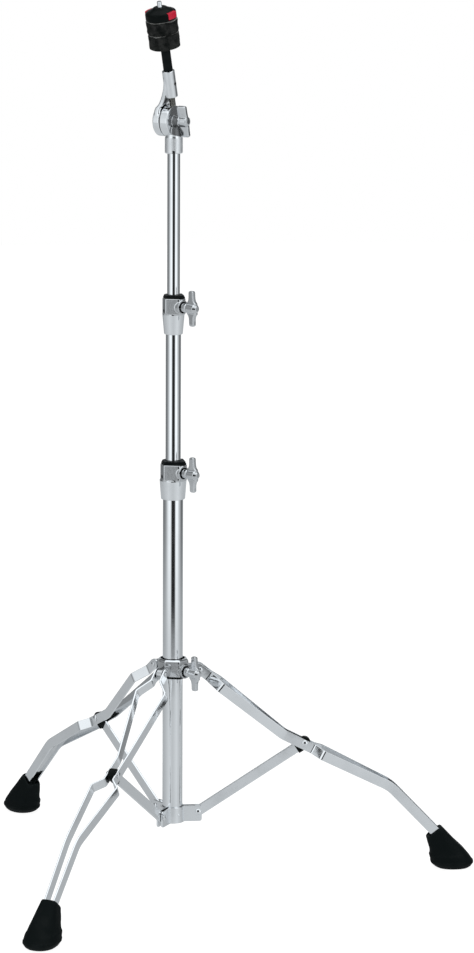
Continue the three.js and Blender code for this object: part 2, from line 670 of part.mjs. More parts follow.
function addClamp(prefix, clamp, inner) {
  add(stand, `${prefix}_clamp_casting`, clampCasting(clamp), casting);
  add(stand, `${prefix}_clamp_bushing`, clampBushing(clamp, inner), nylon);
  const bolt = add(turnedGroup(clamp.azimuth), `${prefix}_wing_bolt`,
    wingBolt(wing, wing.shank, clamp.bushingRadius + gap, clamp.faceDistance), casting);
  bolt.position.z = clamp.boltHeight;
}

// Tilter: X runs along the tilt axis, from the arm's disc to the wing bolt

function tilterBase() {
  const disc = alongX(bar(tilter.discRadius, tilter.baseSeam, tilter.baseFace, tubeSides));
  const boss = alongX(turned([
    [0, tilter.baseFace - overrun], [tilter.bossRadius, tilter.baseFace - overrun],
    [tilter.bossRadius, tilter.baseFace], [tilter.bossEndRadius, tilter.bossEnd], [0, tilter.bossEnd],
  ], tubeSides));
  const down = (height) => height - tilter.axisHeight;
  const bottom = down(tilter.sleeveBottom);
  const sleeve = turned([
    [0, bottom], [tilter.sleeveRadius - tilter.sleeveEase, bottom],
    [tilter.sleeveRadius, bottom + tilter.sleeveEase], [tilter.sleeveRadius, down(tilter.sleeveTop)],
    [tilter.bossRadius - overrun, down(tilter.neckTop)], [0, down(tilter.neckTop)],
  ], tubeSides);
  const besideDisc = box(
    [-2 * tilter.discRadius, tilter.baseSeam], [-tilter.discRadius, tilter.discRadius],
    [-tilter.discRadius - gap, tilter.discRadius]);
  const tubeSeat = down(upperTube.top + gap);
  const tubeBore = bar(upperTube.radius + gap, bottom - overrun, tubeSeat, tubeSides);
  const boltBore = alongX(bar(
    tilter.boltRadius + gap, tilter.baseSeam - overrun, tilter.bossEnd + overrun));
  return cut(join(disc, boss, cut(sleeve, besideDisc)), tubeBore, boltBore);
}

// The levels of the arm's web: the height and half width as shares of the disc's radius, the shift
// as a share of the way to the rod, and the depth as a share of the disc's.
const webShares = [
  { height: 0.45, shift: 0, depth: 1, halfWidth: 0.88 },
  { height: 0.75, shift: 0, depth: 1, halfWidth: 0.74 },
  { height: 1.03, shift: 0.06, depth: 0.78, halfWidth: 0.62 },
  { height: 1.2, shift: 0.29, depth: 0.86, halfWidth: 0.56 },
  { height: 1.35, shift: 0.39, depth: 0.83, halfWidth: 0.52 },
  { height: 1.55, shift: 0.5, depth: 0.79, halfWidth: 0.48 },
  { height: 1.8, shift: 0.61, depth: 0.74, halfWidth: 0.45 },
  { height: 2.3, shift: 0.775, depth: 0.58, halfWidth: 0.42 },
  { height: 3.1, shift: 0.91, depth: 0.54, halfWidth: 0.38 },
];

// The arm's web rises from its disc and closes in on the rod's sleeve.
function armWeb() {
  const discHalf = tilter.armDisc / 2;
  const discMiddle = tilter.armFace + discHalf;
  const reach = arm.across - discMiddle;
  const rings = webShares.map((level) => {
    const x = discMiddle + level.shift * reach;
    return ring(
      x, 0, level.depth * discHalf, level.halfWidth * tilter.discRadius, 0, webSquareness)
      .map((point) => point.setZ(level.height * tilter.discRadius));
  });
  return skinned(rings);
}

function tilterArm() {
  const disc = alongX(bar(tilter.discRadius, tilter.armFace, tilter.armSeam, tubeSides));
  const onRod = (geometry) => geometry.translate(arm.across, 0, 0);
  const sleeve = onRod(bar(arm.sleeveRadius, arm.sleeveBottom, arm.top, tubeSides));
  const rodBore = onRod(bar(
    rod.studRadius + gap, tilter.discRadius / 2, arm.top + overrun, tubeSides));
  const boltBore = alongX(bar(
    tilter.boltRadius + gap, tilter.armFace + overrun, tilter.armSeam + overrun));
  const screwBore = onRod(alongX(bar(arm.screwRadius + gap, 0, arm.sleeveRadius + overrun)))
    .translate(0, 0, arm.screwHeight);
  return cut(join(disc, armWeb(), sleeve), rodBore, boltBore, screwBore);
}

function setScrew() {
  const from = arm.across + rod.studRadius + gap;
  const to = arm.across + arm.sleeveRadius + gap;
  const body = alongX(bar(arm.screwRadius, from, to));
  const socket = alongX(bar(arm.screwSocket, to - arm.screwRadius / 2, to + overrun, hexSides));
  return cut(body, socket).translate(0, 0, arm.screwHeight);
}

function rodSolid() {
  return turned([
    [0, rod.bottom], [rod.studRadius - rod.chamfer, rod.bottom],
    [rod.studRadius, rod.bottom + rod.chamfer], [rod.studRadius, rod.studTop],
    [rod.threadRadius, rod.studTop], [rod.threadRadius, rod.tip - rod.chamfer],
    [rod.threadRadius - rod.chamfer, rod.tip], [0, rod.tip],
  ], smallSides);
}

// Felts, mate and sleeve, round the rod

function seatSleeve() {
  return turned([
    [seat.bore, seat.bottom], [seat.radius, seat.bottom], [seat.radius, seat.shoulder],
    [seat.coreRadius, seat.shoulder], [seat.coreRadius, seat.coreTop], [seat.bore, seat.coreTop],
    [seat.bore, seat.bottom],
  ], ringSides);
}

function feltSolid(size) {
  const bore = seat.coreRadius + gap;
  const flat = size.radius - size.ease;
  return turned([
    [bore, size.bottom], [flat, size.bottom], [size.radius, size.bottom + size.ease],
    [size.radius, size.top - size.ease], [flat, size.top], [bore, size.top], [bore, size.bottom],
  ], tubeSides);
}

function mateBody() {
  const flat = mate.radius - mate.ease;
  const body = turned([
    [seat.bore, mate.bottom], [flat, mate.bottom], [mate.radius, mate.bottom + mate.ease],
    [mate.radius, mate.rimTop - mate.ease], [flat, mate.rimTop],
    [mate.hubRadius + overrun, mate.hubTop - overrun], [mate.hubRadius, mate.hubTop],
    [seat.bore, mate.hubTop], [seat.bore, mate.bottom],
  ], tubeSides);
  const half = mate.buttonWidth / 2 + gap;
  const inner = mate.buttonInner - mate.buttonTravel - gap;
  const outer = mate.radius + overrun;
  const pockets = [[inner, outer], [-outer, -inner]].map((across) => box(
    across, [-half, half], [mate.buttonBottom - gap, mate.buttonTop + gap])
    .rotateZ(mate.buttonAzimuth));
  return cut(body, ...pockets);
}

function mateButton(side) {
  const half = mate.buttonWidth / 2;
  const across = [side * mate.buttonInner, side * mate.buttonOuter].sort((a, b) => a - b);
  const block = box(across, [-half, half], [mate.buttonBottom, mate.buttonTop]);
  const round = bar(
    mate.buttonOuter, mate.buttonBottom - overrun, mate.buttonTop + overrun, 2 * tubeSides);
  return common(block, round).rotateZ(mate.buttonAzimuth);
}

// Assembly: the tripod

addTube('base_tube', baseTube);
for (let n = 0; n < legCount; n++) {
  const name = n + 1;
  const group = turnedGroup(n * legPitch);
  add(group, `bracket_plate_${name}`, bracketPlate(), casting);
  const bracketPin = add(group, `bracket_rivet_${name}`, upright(rivetAlongZ(earOuter + gap)), chrome);
  bracketPin.position.set(bracket.pivotRadius, 0, bracket.pivotHeight);
  add(group, `stay_${name}`, stayBar(), chrome);
  add(group, `stay_cap_${name}`, stayCapSolid(), blackPlastic);
  add(group, `leg_${name}_strip_left`, legStrip(1), chrome);
  add(group, `leg_${name}_strip_right`, legStrip(-1), chrome);
  const legPin = upright(rivetAlongZ(leg.closeOuterFace + gap));
  const stayPin = add(group, `stay_rivet_${name}`, legPin, chrome);
  stayPin.position.set(leg.stayPivotRadius, 0, leg.stayPivotHeight);
  const collarPin = add(group, `collar_rivet_${name}`, legPin.clone(), chrome);
  collarPin.position.set(collar.pivotRadius, 0, collar.pivotHeight);
  add(group, `foot_${name}`, footSolid(), rubber);
}
add(stand, 'collar_body', collarBody(), casting);
add(stand, 'collar_bushing', collarBushing(), nylon);
const collarBolt = add(turnedGroup(collar.boltAzimuth), 'collar_wing_bolt',
  wingBolt(wing, wing.shank, collar.bushingOuter + gap, collar.faceDistance), casting);
collarBolt.position.z = collar.pivotHeight;

// Assembly: tubes and clamps

addGlide('middle_glide', middleTube, baseTube);
addTube('middle_tube', middleTube);
addGlide('upper_glide', upperTube, middleTube);
addTube('upper_tube', upperTube);
addClamp('lower', lowerClamp, middleTube);
addClamp('upper', upperClamp, upperTube);

// Assembly: the tilter, and what its rod carries

const tilterGroup = turnedGroup(tilter.azimuth);
tilterGroup.position.z = tilter.axisHeight;
add(tilterGroup, 'tilter_base', tilterBase(), casting);
add(tilterGroup, 'tilter_friction_disc', alongX(pipe(
  tilter.discRadius - tilter.washerInset, tilter.boltRadius + gap,
  tilter.armSeam + gap, tilter.armSeam + gap + tilter.washerThickness)), nylon);
add(tilterGroup, 'tilter_wing_bolt',
  wingBolt(tiltWing, tilter.boltRadius, tilter.armFace + overrun + gap, tilter.bossEnd), casting);

const rodGroup = new THREE.Group();
rodGroup.rotation.x = tilter.tilt;
tilterGroup.add(rodGroup);
add(rodGroup, 'tilter_arm', tilterArm(), casting);
add(rodGroup, 'rod_set_screw', setScrew(), blackSteel);
const onRod = new THREE.Group();
onRod.position.x = arm.across;
rodGroup.add(onRod);
add(onRod, 'tilter_rod', rodSolid(), brass);
add(onRod, 'felt_sleeve', seatSleeve(), nylon);
add(onRod, 'lower_felt', feltSolid(lowerFelt), felt);
add(onRod, 'upper_felt', feltSolid(upperFelt), felt);
add(onRod, 'mate_body', mateBody(), blackPlastic);
add(onRod, 'mate_button_right', mateButton(1), redPlastic);
add(onRod, 'mate_button_left', mateButton(-1), redPlastic);

// The origin is on the floor, in the middle of the stand's box.

const bounds = new THREE.Box3().setFromObject(stand, true);
const middle = bounds.getCenter(new THREE.Vector3());
stand.position.set(-middle.x, -middle.y, -bounds.min.z);

export default stand;
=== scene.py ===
# %% [markdown]
# # A straight cymbal stand, dressed for its portrait
#
# The stand comes from CAD as a fixed frame of named solids. Here each of them gets the skin that
# the real one has: chrome tubes that mirror the studio, die castings with soft edges, black nylon
# bushings, rubber boots, felts and a quick release mate.
#
# Lengths below are in millimetres, as on a drawing. One matrix turns them into Blender's metres.

import math

import bmesh
import bpy
from mathutils import Matrix, Vector, noise


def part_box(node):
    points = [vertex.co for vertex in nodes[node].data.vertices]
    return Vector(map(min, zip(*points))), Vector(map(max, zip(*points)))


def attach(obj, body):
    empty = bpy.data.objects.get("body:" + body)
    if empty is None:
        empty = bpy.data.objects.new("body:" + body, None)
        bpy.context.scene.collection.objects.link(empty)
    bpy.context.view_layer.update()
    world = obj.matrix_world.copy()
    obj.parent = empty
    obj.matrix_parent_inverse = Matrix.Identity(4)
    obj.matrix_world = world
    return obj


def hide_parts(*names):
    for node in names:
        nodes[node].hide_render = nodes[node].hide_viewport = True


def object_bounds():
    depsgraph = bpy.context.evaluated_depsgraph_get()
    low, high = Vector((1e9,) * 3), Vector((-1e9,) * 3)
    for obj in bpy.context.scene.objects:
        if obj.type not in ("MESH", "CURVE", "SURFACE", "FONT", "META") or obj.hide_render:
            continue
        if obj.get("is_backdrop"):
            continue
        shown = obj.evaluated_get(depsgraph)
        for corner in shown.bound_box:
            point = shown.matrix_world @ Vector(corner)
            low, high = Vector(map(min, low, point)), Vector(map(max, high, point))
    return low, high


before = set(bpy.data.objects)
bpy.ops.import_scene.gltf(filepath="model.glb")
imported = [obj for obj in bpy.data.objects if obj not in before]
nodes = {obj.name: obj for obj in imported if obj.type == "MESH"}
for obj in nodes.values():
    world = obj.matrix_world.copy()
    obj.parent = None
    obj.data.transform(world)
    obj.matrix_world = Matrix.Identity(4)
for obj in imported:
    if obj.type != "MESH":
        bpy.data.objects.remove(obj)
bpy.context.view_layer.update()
MILLIMETRE = 0.001
FULL_TURN = 2 * math.pi
LEG_PITCH = 2 * math.pi / 3
GAP = 0.3
ALONG_X = Matrix.Rotation(math.pi / 2, 4, "Y")
UPRIGHT = Matrix.Rotation(math.pi / 2, 4, "X")

tube_low, tube_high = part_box("base_tube")
POST_X = (tube_low.x + tube_high.x) / 2
POST_Y = (tube_low.y + tube_high.y) / 2


def shifted(x=0.0, y=0.0, z=0.0):
    return Matrix.Translation((x, y, z))


def swung(azimuth):
    """A turn about the upright axis."""
    return Matrix.Rotation(azimuth, 4, "Z")


def facing(azimuth, height):
    """Lays what was drawn along Z out towards an azimuth, at a height."""
    return swung(azimuth) @ shifted(z=height) @ ALONG_X


def on_post(azimuth=0.0, height=0.0):
    """Places what was drawn about the tubes' axis: turned to an azimuth and raised."""
    millimetres = Matrix.Scale(MILLIMETRE, 4)
    return shifted(POST_X, POST_Y) @ millimetres @ swung(azimuth) @ shifted(z=height)


def loose_object(name, data):
    made = bpy.data.objects.new(name, data)
    bpy.context.scene.collection.objects.link(made)
    return made


LEGS = [(n, on_post((n - 1) * LEG_PITCH)) for n in (1, 2, 3)]
print("nodes", len(nodes), "post at", round(POST_X, 4), round(POST_Y, 4))

# %% [markdown]
# ## The camera
#
# The photographer stood far back with a long lens and looked a little down, so the tubes stay
# parallel. Distance, height and pitch were found from the feet, the rivets and the tube widths.
# The tubes stand left of the picture's middle, which a small lens shift takes care of.

# %% The camera
CAMERA_DISTANCE = 5156.1
CAMERA_HEIGHT = 1490.0
CAMERA_PITCH = 0.1877
CAMERA_TURN = math.radians(-4.287)
CAMERA_ROLL = 0.0022
FOCAL_PIXELS = 4207.15
PICTURE_WIDTH = 474
PICTURE_HEIGHT = 953
POST_COLUMN = 173.1
SENSOR = 36.0
FARTHEST = 100.0

camera_data = bpy.data.cameras.new("camera")
camera_data.sensor_fit = "AUTO"
camera_data.sensor_width = SENSOR
camera_data.lens = FOCAL_PIXELS / PICTURE_HEIGHT * SENSOR
camera_data.shift_x = (PICTURE_WIDTH / 2 - POST_COLUMN) / PICTURE_HEIGHT
camera_data.clip_end = FARTHEST
camera = loose_object("camera", camera_data)
camera.matrix_world = (
    shifted(POST_X, POST_Y) @ swung(CAMERA_TURN)
    @ shifted(0, -CAMERA_DISTANCE * MILLIMETRE, CAMERA_HEIGHT * MILLIMETRE)
    @ Matrix.Rotation(math.pi / 2 - CAMERA_PITCH, 4, "X") @ swung(CAMERA_ROLL)
)
bpy.context.scene.camera = camera
bpy.context.scene.view_settings.view_transform = "Standard"
print("lens", round(camera_data.lens, 1), "shift", round(camera_data.shift_x, 4))

# %% [markdown]
# ## The studio
#
# Chrome has no colour of its own: it shows the room. The real room had a tall soft box on either
# side of the camera, a dark gap between them where the camera stood, dim walls and dark corners
# at the back, a bright ceiling in front and above, and a white sweep below that is a little darker
# right under the stand. A world shader can paint that room by direction, and only glossy rays see
# it. The camera sees plain white directly.

# %% Small helpers for shader trees
NODE_STEP = 220
MIX_COLORS = (6, 7)
MIX_RESULT = 2
HALF = 0.5
WHITE = (1, 1, 1)


def feed(tree, socket, value):
    """Links an output to a socket, or sets the socket's own number or colour."""
    if isinstance(value, bpy.types.NodeSocket):
        tree.links.new(value, socket)
    elif isinstance(value, tuple):
        socket.default_value = (*value, 1)
    elif value is not None:
        socket.default_value = value


def node_in(tree, kind, *values, **settings):
    """Adds a node. The values go to its inputs in order, and None leaves an input alone."""
    made = tree.nodes.new(kind)
    made.location.x = len(tree.nodes) * NODE_STEP
    for key, value in settings.items():
        setattr(made, key, value)
    for socket, value in zip(made.inputs, values):
        feed(tree, socket, value)
    return made


def math_node(tree, operation, *values):
    return node_in(tree, "ShaderNodeMath", *values, operation=operation).outputs[0]


def span_node(tree, value, low, high):
    """0 below low and 1 above high, with a soft step between."""
    made = node_in(tree, "ShaderNodeMapRange", value, low, high, interpolation_type="SMOOTHSTEP")
    return made.outputs[0]


def mix_node(tree, factor, first, second, blend="MIX"):
    made = node_in(tree, "ShaderNodeMix", factor, data_type="RGBA", blend_type=blend)
    for index, value in zip(MIX_COLORS, (first, second)):
        feed(tree, made.inputs[index], value)
    return made.outputs[MIX_RESULT]


def mirror_rays(tree):
    """The light path's outputs, and a value that is 1 for mirrored and refracted rays."""
    rays = node_in(tree, "ShaderNodeLightPath").outputs
    glossy = math_node(tree, "MAXIMUM", rays["Is Glossy Ray"], rays["Is Transmission Ray"])
    return rays, glossy


def cleared(owner):
    owner.use_nodes = True
    owner.node_tree.nodes.clear()
    return owner.node_tree


# %% The room that the metal mirrors
ROOM_TINT = (0.93, 0.972, 1.0)
WORLD_LEVEL = 0.62
FACING_CAMERA = CAMERA_TURN - math.pi / 2
WALL_LEVELS = [
    (-180, 0.45), (-160, 0.45), (-145, 0.22), (-118, 0.17), (-86, 0.34), (-64, 0.78), (-44, 1.15),
    (-22, 0.95), (22, 0.95), (48, 1.22), (68, 0.72), (90, 0.36), (104, 0.2), (116, 0.1),
    (132, 0.12), (143, 0.4), (160, 0.5), (180, 0.45),
]
GAP_LEVELS = [(-180, 1.0), (-24, 1.0), (-14, 0.03), (19, 0.02), (31, 1.0), (180, 1.0)]
SWEEP_LEVELS = [
    (-180, 0.5), (-150, 0.5), (-120, 0.48), (-88, 0.54), (-44, 0.68), (0, 0.58), (46, 0.72),
    (90, 0.54), (120, 0.48), (150, 0.5), (180, 0.5),
]
CEILING_LEVELS = [
    (-180, 0.08), (-128, 0.08), (-104, 0.3), (-76, 0.72), (-50, 0.82), (50, 0.82), (76, 0.72),
    (104, 0.3), (128, 0.08), (180, 0.08),
]
SHADOW_LEVEL = 0.58
TOP_LEVEL = 1.2
STARTS = {
    "sweep": (-52.0, -34.0), "walls": (-13.6, -10.8), "gap": (-13.8, -12.4),
    "ceiling": (16.0, 34.0), "top": (44.0, 58.0),
}

world = bpy.data.worlds.new("studio")
bpy.context.scene.world = world
room = cleared(world)
direction = node_in(room, "ShaderNodeTexCoord").outputs["Generated"]
apart = node_in(room, "ShaderNodeSeparateXYZ", direction).outputs
bearing = math_node(room, "ARCTAN2", apart[1], apart[0])
turned_bearing = math_node(room, "SUBTRACT", bearing, FACING_CAMERA)
wrapped = math_node(room, "WRAP", turned_bearing, math.pi, -math.pi)
around = math_node(room, "MULTIPLY_ADD", wrapped, 1 / FULL_TURN, HALF)
climb = math_node(room, "DEGREES", math_node(room, "ARCSINE", apart[2]))


def by_bearing(levels):
    """Grey levels given all round the stand, in degrees from the camera's side."""
    made = node_in(room, "ShaderNodeValToRGB", around)
    elements = made.color_ramp.elements
    while len(elements) < len(levels):
        elements.new(HALF)
    for element, (degrees, level) in zip(elements, levels):
        element.position = (degrees + 180) / 360
        element.color = (level, level, level, 1)
    return made.outputs[0]


def layered(below, above, layer):
    """Fades to the next layer of the room at the height where that one starts."""
    return mix_node(room, span_node(room, climb, *STARTS[layer]), below, above)


ground = layered((SHADOW_LEVEL,) * 3, by_bearing(SWEEP_LEVELS), "sweep")
open_room = layered(ground, by_bearing(WALL_LEVELS), "walls")
gap_there = layered(WHITE, by_bearing(GAP_LEVELS), "gap")
lower_room = mix_node(room, 1.0, open_room, gap_there, "MULTIPLY")
walled_room = layered(lower_room, by_bearing(CEILING_LEVELS), "ceiling")
whole_room = layered(walled_room, (TOP_LEVEL,) * 3, "top")
tinted = mix_node(room, 1.0, whole_room, ROOM_TINT, "MULTIPLY")
mirrored = node_in(room, "ShaderNodeBackground", tinted).outputs[0]
plain = node_in(room, "ShaderNodeBackground", WHITE, WORLD_LEVEL).outputs[0]
white = node_in(room, "ShaderNodeBackground", WHITE).outputs[0]
rays, glossy = mirror_rays(room)
unseen = node_in(room, "ShaderNodeMixShader", glossy, plain, mirrored).outputs[0]
seen = node_in(room, "ShaderNodeMixShader", rays["Is Camera Ray"], unseen, white).outputs[0]
node_in(room, "ShaderNodeOutputWorld", seen)
print("room nodes", len(room.nodes))

# %% [markdown]
# ### Lamps and floor
#
# Two broad area lamps stand where the soft boxes were, and a third hangs above. They light
# plastic, rubber and felt; the metal already has its room, so mirrors don't see them. The floor
# is white to the camera apart from a soft shadow, and lets mirrored rays through to the room.

# %% Lamps and floor
LAMPS = [
    ("soft_box_left", (-2.3, -2.6, 1.7), 1.6, 34.0),
    ("soft_box_right", (2.4, -2.4, 1.6), 1.6, 26.0),
    ("top_box", (0.1, 0.2, 3.2), 2.0, 34.0),
]
LAMP_TARGET = Vector((0, 0, 0.5))
for lamp_name, place, size, power in LAMPS:
    lamp_data = bpy.data.lights.new(lamp_name, "AREA")
    lamp_data.shape = "SQUARE"
    lamp_data.size = size
    lamp_data.energy = power
    lamp = loose_object(lamp_name, lamp_data)
    lamp.location = place
    lamp.rotation_mode = "QUATERNION"
    lamp.rotation_quaternion = (Vector(place) - LAMP_TARGET).to_track_quat("Z", "Y")
    lamp.visible_glossy = False

FLOOR_HALF = 6.0
FLOOR_DROP = 0.0004
FLOOR_GLOW = 0.92
FLOOR_SHADE = 0.2
corners = ((-1, -1), (1, -1), (1, 1), (-1, 1))
floor_corners = [(x * FLOOR_HALF, y * FLOOR_HALF, 0) for x, y in corners]
floor_mesh = bpy.data.meshes.new("floor")
floor_mesh.from_pydata(floor_corners, [], [(0, 1, 2, 3)])
floor = loose_object("floor", floor_mesh)
floor.location.z = -FLOOR_DROP
floor_material = bpy.data.materials.new("white_sweep")
tree = cleared(floor_material)
shade = node_in(tree, "ShaderNodeBsdfDiffuse", (FLOOR_SHADE,) * 3).outputs[0]
glow = node_in(tree, "ShaderNodeEmission", (FLOOR_GLOW,) * 3).outputs[0]
lit = node_in(tree, "ShaderNodeAddShader", shade, glow).outputs[0]
open_floor = node_in(tree, "ShaderNodeBsdfTransparent").outputs[0]
rays, glossy = mirror_rays(tree)
floor_mix = node_in(tree, "ShaderNodeMixShader", glossy, lit, open_floor).outputs[0]
node_in(tree, "ShaderNodeOutputMaterial", floor_mix)
floor_mesh.materials.append(floor_material)
floor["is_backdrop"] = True
print("lamps", len(LAMPS), "floor nodes", len(tree.nodes))

# %% [markdown]
# ## Finishes
#
# Most surfaces differ only in how their small marks look: haze on chrome, orange peel on a
# casting, the fine grain of moulded nylon, dust on rubber, fibres on felt. Each of those effects
# is a node group with its own inputs, placed in as many materials as need it.


# %% Shared effects, as node groups
def new_group(name, inputs, *outputs):
    """A shader node group; the inputs have default values, and the outputs are values."""
    group = bpy.data.node_groups.new(name, "ShaderNodeTree")
    kind = "NodeSocketFloat"
    for socket_name, default in inputs.items():
        socket = group.interface.new_socket(name=socket_name, in_out="INPUT", socket_type=kind)
        socket.default_value = default
    for socket_name in outputs:
        group.interface.new_socket(name=socket_name, in_out="OUTPUT", socket_type=kind)
    entry = node_in(group, "NodeGroupInput")
    leave = node_in(group, "NodeGroupOutput")
    place = node_in(group, "ShaderNodeTexCoord")
    return group, entry.outputs, leave.inputs, place.outputs["Object"]


def noise_node(tree, vector, scale, detail, roughness=0.55):
    return node_in(tree, "ShaderNodeTexNoise", vector, None, scale, detail, roughness).outputs[0]


def patchy(tree, vector, scale, detail, low, high):
    """Soft patches: where the noise climbs from low to high."""
    return span_node(tree, noise_node(tree, vector, scale, detail), low, high)


# %% Haze, orange peel and hairlines
HAZE_PATCHES = (4.0, 0.42, 0.72)
PEEL_DETAIL = 2.0
LINE_PATCHES = (2.0, 0.52, 0.7)

haze, enter, leave, where = new_group(
    "Haze", {"Scale": 30.0, "Clean": 0.05, "Dull": 0.12}, "Roughness", "Mask")
patch = patchy(haze, where, enter["Scale"], *HAZE_PATCHES)
reach = math_node(haze, "SUBTRACT", enter["Dull"], enter["Clean"])
feed(haze, leave["Roughness"], math_node(haze, "MULTIPLY_ADD", patch, reach, enter["Clean"]))
feed(haze, leave["Mask"], patch)

peel, enter, leave, where = new_group("Orange Peel", {"Scale": 300.0, "Depth": 1.0}, "Height")
bumps = noise_node(peel, where, enter["Scale"], PEEL_DETAIL)
feed(peel, leave["Height"], math_node(peel, "MULTIPLY", bumps, enter["Depth"]))

scratches, enter, leave, where = new_group(
    "Hairlines", {"Scale": 60.0, "Stretch": 30.0, "Amount": 0.5}, "Mask", "Height")
stretched = node_in(
    scratches, "ShaderNodeCombineXYZ", enter["Stretch"], enter["Stretch"], 1.0).outputs[0]
long_way = node_in(scratches, "ShaderNodeVectorMath", where, stretched, operation="MULTIPLY")
fine = patchy(scratches, long_way.outputs[0], enter["Scale"], *LINE_PATCHES)
marked = math_node(scratches, "MULTIPLY", fine, enter["Amount"])
feed(scratches, leave["Mask"], marked)
feed(scratches, leave["Height"], marked)

# %% Edge wear, dust and fibres
WORN_PATCHES = (3.0, 0.35, 0.65)
DUST_PATCHES = (5.0, 0.4, 0.75)
LEVEL_ENOUGH = (0.1, 1.0)
HAIR = (6.0, 0.75)
TUFTS = (4.0, 0.6)
TUFT_SHARE = 1.4
FUZZ_SPAN = (0.95, 1.5)

wear, enter, leave, where = new_group(
    "Edge Wear", {"Start": 0.52, "End": 0.62, "Breakup": 90.0}, "Mask")
pointiness = node_in(wear, "ShaderNodeNewGeometry").outputs["Pointiness"]
sharpness = node_in(wear, "ShaderNodeMapRange", pointiness, enter["Start"], enter["End"]).outputs[0]
worn = patchy(wear, where, enter["Breakup"], *WORN_PATCHES)
feed(wear, leave["Mask"], math_node(wear, "MULTIPLY", sharpness, worn))

dust, enter, leave, where = new_group("Dust", {"Scale": 45.0, "Amount": 0.3}, "Mask")
normal = node_in(dust, "ShaderNodeNewGeometry").outputs["Normal"]
upward = node_in(dust, "ShaderNodeSeparateXYZ", normal).outputs[2]
specks = patchy(dust, where, enter["Scale"], *DUST_PATCHES)
lying = math_node(dust, "MULTIPLY", span_node(dust, upward, *LEVEL_ENOUGH), specks)
feed(dust, leave["Mask"], math_node(dust, "MULTIPLY", lying, enter["Amount"]))

fibres, enter, leave, where = new_group(
    "Fibres", {"Scale": 900.0, "Clumps": 110.0}, "Mask", "Height")
hair = noise_node(fibres, where, enter["Scale"], *HAIR)
tufts = noise_node(fibres, where, enter["Clumps"], *TUFTS)
fuzz = math_node(fibres, "MULTIPLY_ADD", tufts, TUFT_SHARE, hair)
feed(fibres, leave["Height"], math_node(fibres, "MULTIPLY", fuzz, HALF))
feed(fibres, leave["Mask"], span_node(fibres, fuzz, *FUZZ_SPAN))
print("groups", [group.name for group in bpy.data.node_groups])


# %% [markdown]
# ### The materials
#
# Chrome plate is nearly a perfect mirror with faint haze. The castings under the same plate were
# only tumbled, so their mirror is softer and their skin has a slight orange peel. Nylon and
# moulded plastic differ in gloss, and rubber is dull, with dust on what faces up. Felt is all
# fibre: a rough surface with a little sheen, with a painted highlight along its upper edge.


# %% How a material is made
SKIN_DEPTH = 0.0001
FELT_DEPTH = 0.0009
DULL_SPECULAR = 0.04
DUST_COLOR = (0.1, 0.1, 0.097)
MOULDED_HAZE = 50.0
finishes = {}


def new_material(name, color, **settings):
    """A Principled material, kept among the finishes; returns its tree and its inputs."""
    material = finishes[name] = bpy.data.materials.new(name)
    material.use_nodes = True
    tree = material.node_tree
    inputs = tree.nodes["Principled BSDF"].inputs
    inputs["Base Color"].default_value = (*color, 1)
    for key, value in settings.items():
        inputs[key.replace("_", " ")].default_value = value
    return tree, inputs


def group_in(tree, group, **values):
    made = node_in(tree, "ShaderNodeGroup", node_tree=group)
    for key, value in values.items():
        made.inputs[key].default_value = value
    return made.outputs


def hazed(tree, inputs, scale, clean, dull):
    """Lays haze over a finish, and returns the mask of its duller patches."""
    film = group_in(tree, haze, Scale=scale, Clean=clean, Dull=dull)
    feed(tree, inputs["Roughness"], film["Roughness"])
    return film["Mask"]


def bumped(tree, inputs, height, depth):
    bump = node_in(tree, "ShaderNodeBump")
    bump.inputs["Distance"].default_value = depth
    feed(tree, bump.inputs["Height"], height)
    feed(tree, inputs["Normal"], bump.outputs[0])


def chrome_finish(name, clean, dull, haze_scale, peel_scale, peel_depth, hairlines, shade):
    clear, hazy = (tuple(channel * shade for channel in color) for color in CHROME_COLORS)
    tree, inputs = new_material(name, clear, Metallic=1.0)
    duller = hazed(tree, inputs, haze_scale, clean, dull)
    feed(tree, inputs["Base Color"], mix_node(tree, duller, clear, hazy))
    skin = group_in(tree, peel, Scale=peel_scale, Depth=peel_depth)["Height"]
    rubbed = group_in(tree, scratches, Amount=hairlines)["Height"]
    bumped(tree, inputs, math_node(tree, "SUBTRACT", skin, rubbed), SKIN_DEPTH)


def moulded(name, color, worn_color, clean, dull, grain_scale, grain_depth, dusty, coat):
    """Nylon, plastic and rubber: moulded grain, rubbed edges and a little dust."""
    tree, inputs = new_material(
        name, color, Roughness=clean, Specular_IOR_Level=DULL_SPECULAR, Coat_Weight=coat)
    edged = mix_node(tree, group_in(tree, wear)["Mask"], color, worn_color)
    lying = group_in(tree, dust, Amount=dusty)["Mask"]
    feed(tree, inputs["Base Color"], mix_node(tree, lying, edged, DUST_COLOR))
    hazed(tree, inputs, MOULDED_HAZE, clean, dull)
    grain = group_in(tree, peel, Scale=grain_scale, Depth=grain_depth)["Height"]
    bumped(tree, inputs, grain, SKIN_DEPTH)


def felted(name, valley_color, fibre_color):
    tree, inputs = new_material(
        name, fibre_color, Roughness=0.95, Specular_IOR_Level=DULL_SPECULAR,
        Sheen_Weight=0.02, Sheen_Roughness=0.5)
    nap = group_in(tree, fibres)
    feed(tree, inputs["Base Color"], mix_node(tree, nap["Mask"], valley_color, fibre_color))
    bumped(tree, inputs, nap["Height"], FELT_DEPTH)


# %% The finishes
CHROME_COLORS = ((0.9, 0.915, 0.93), (0.84, 0.855, 0.87))
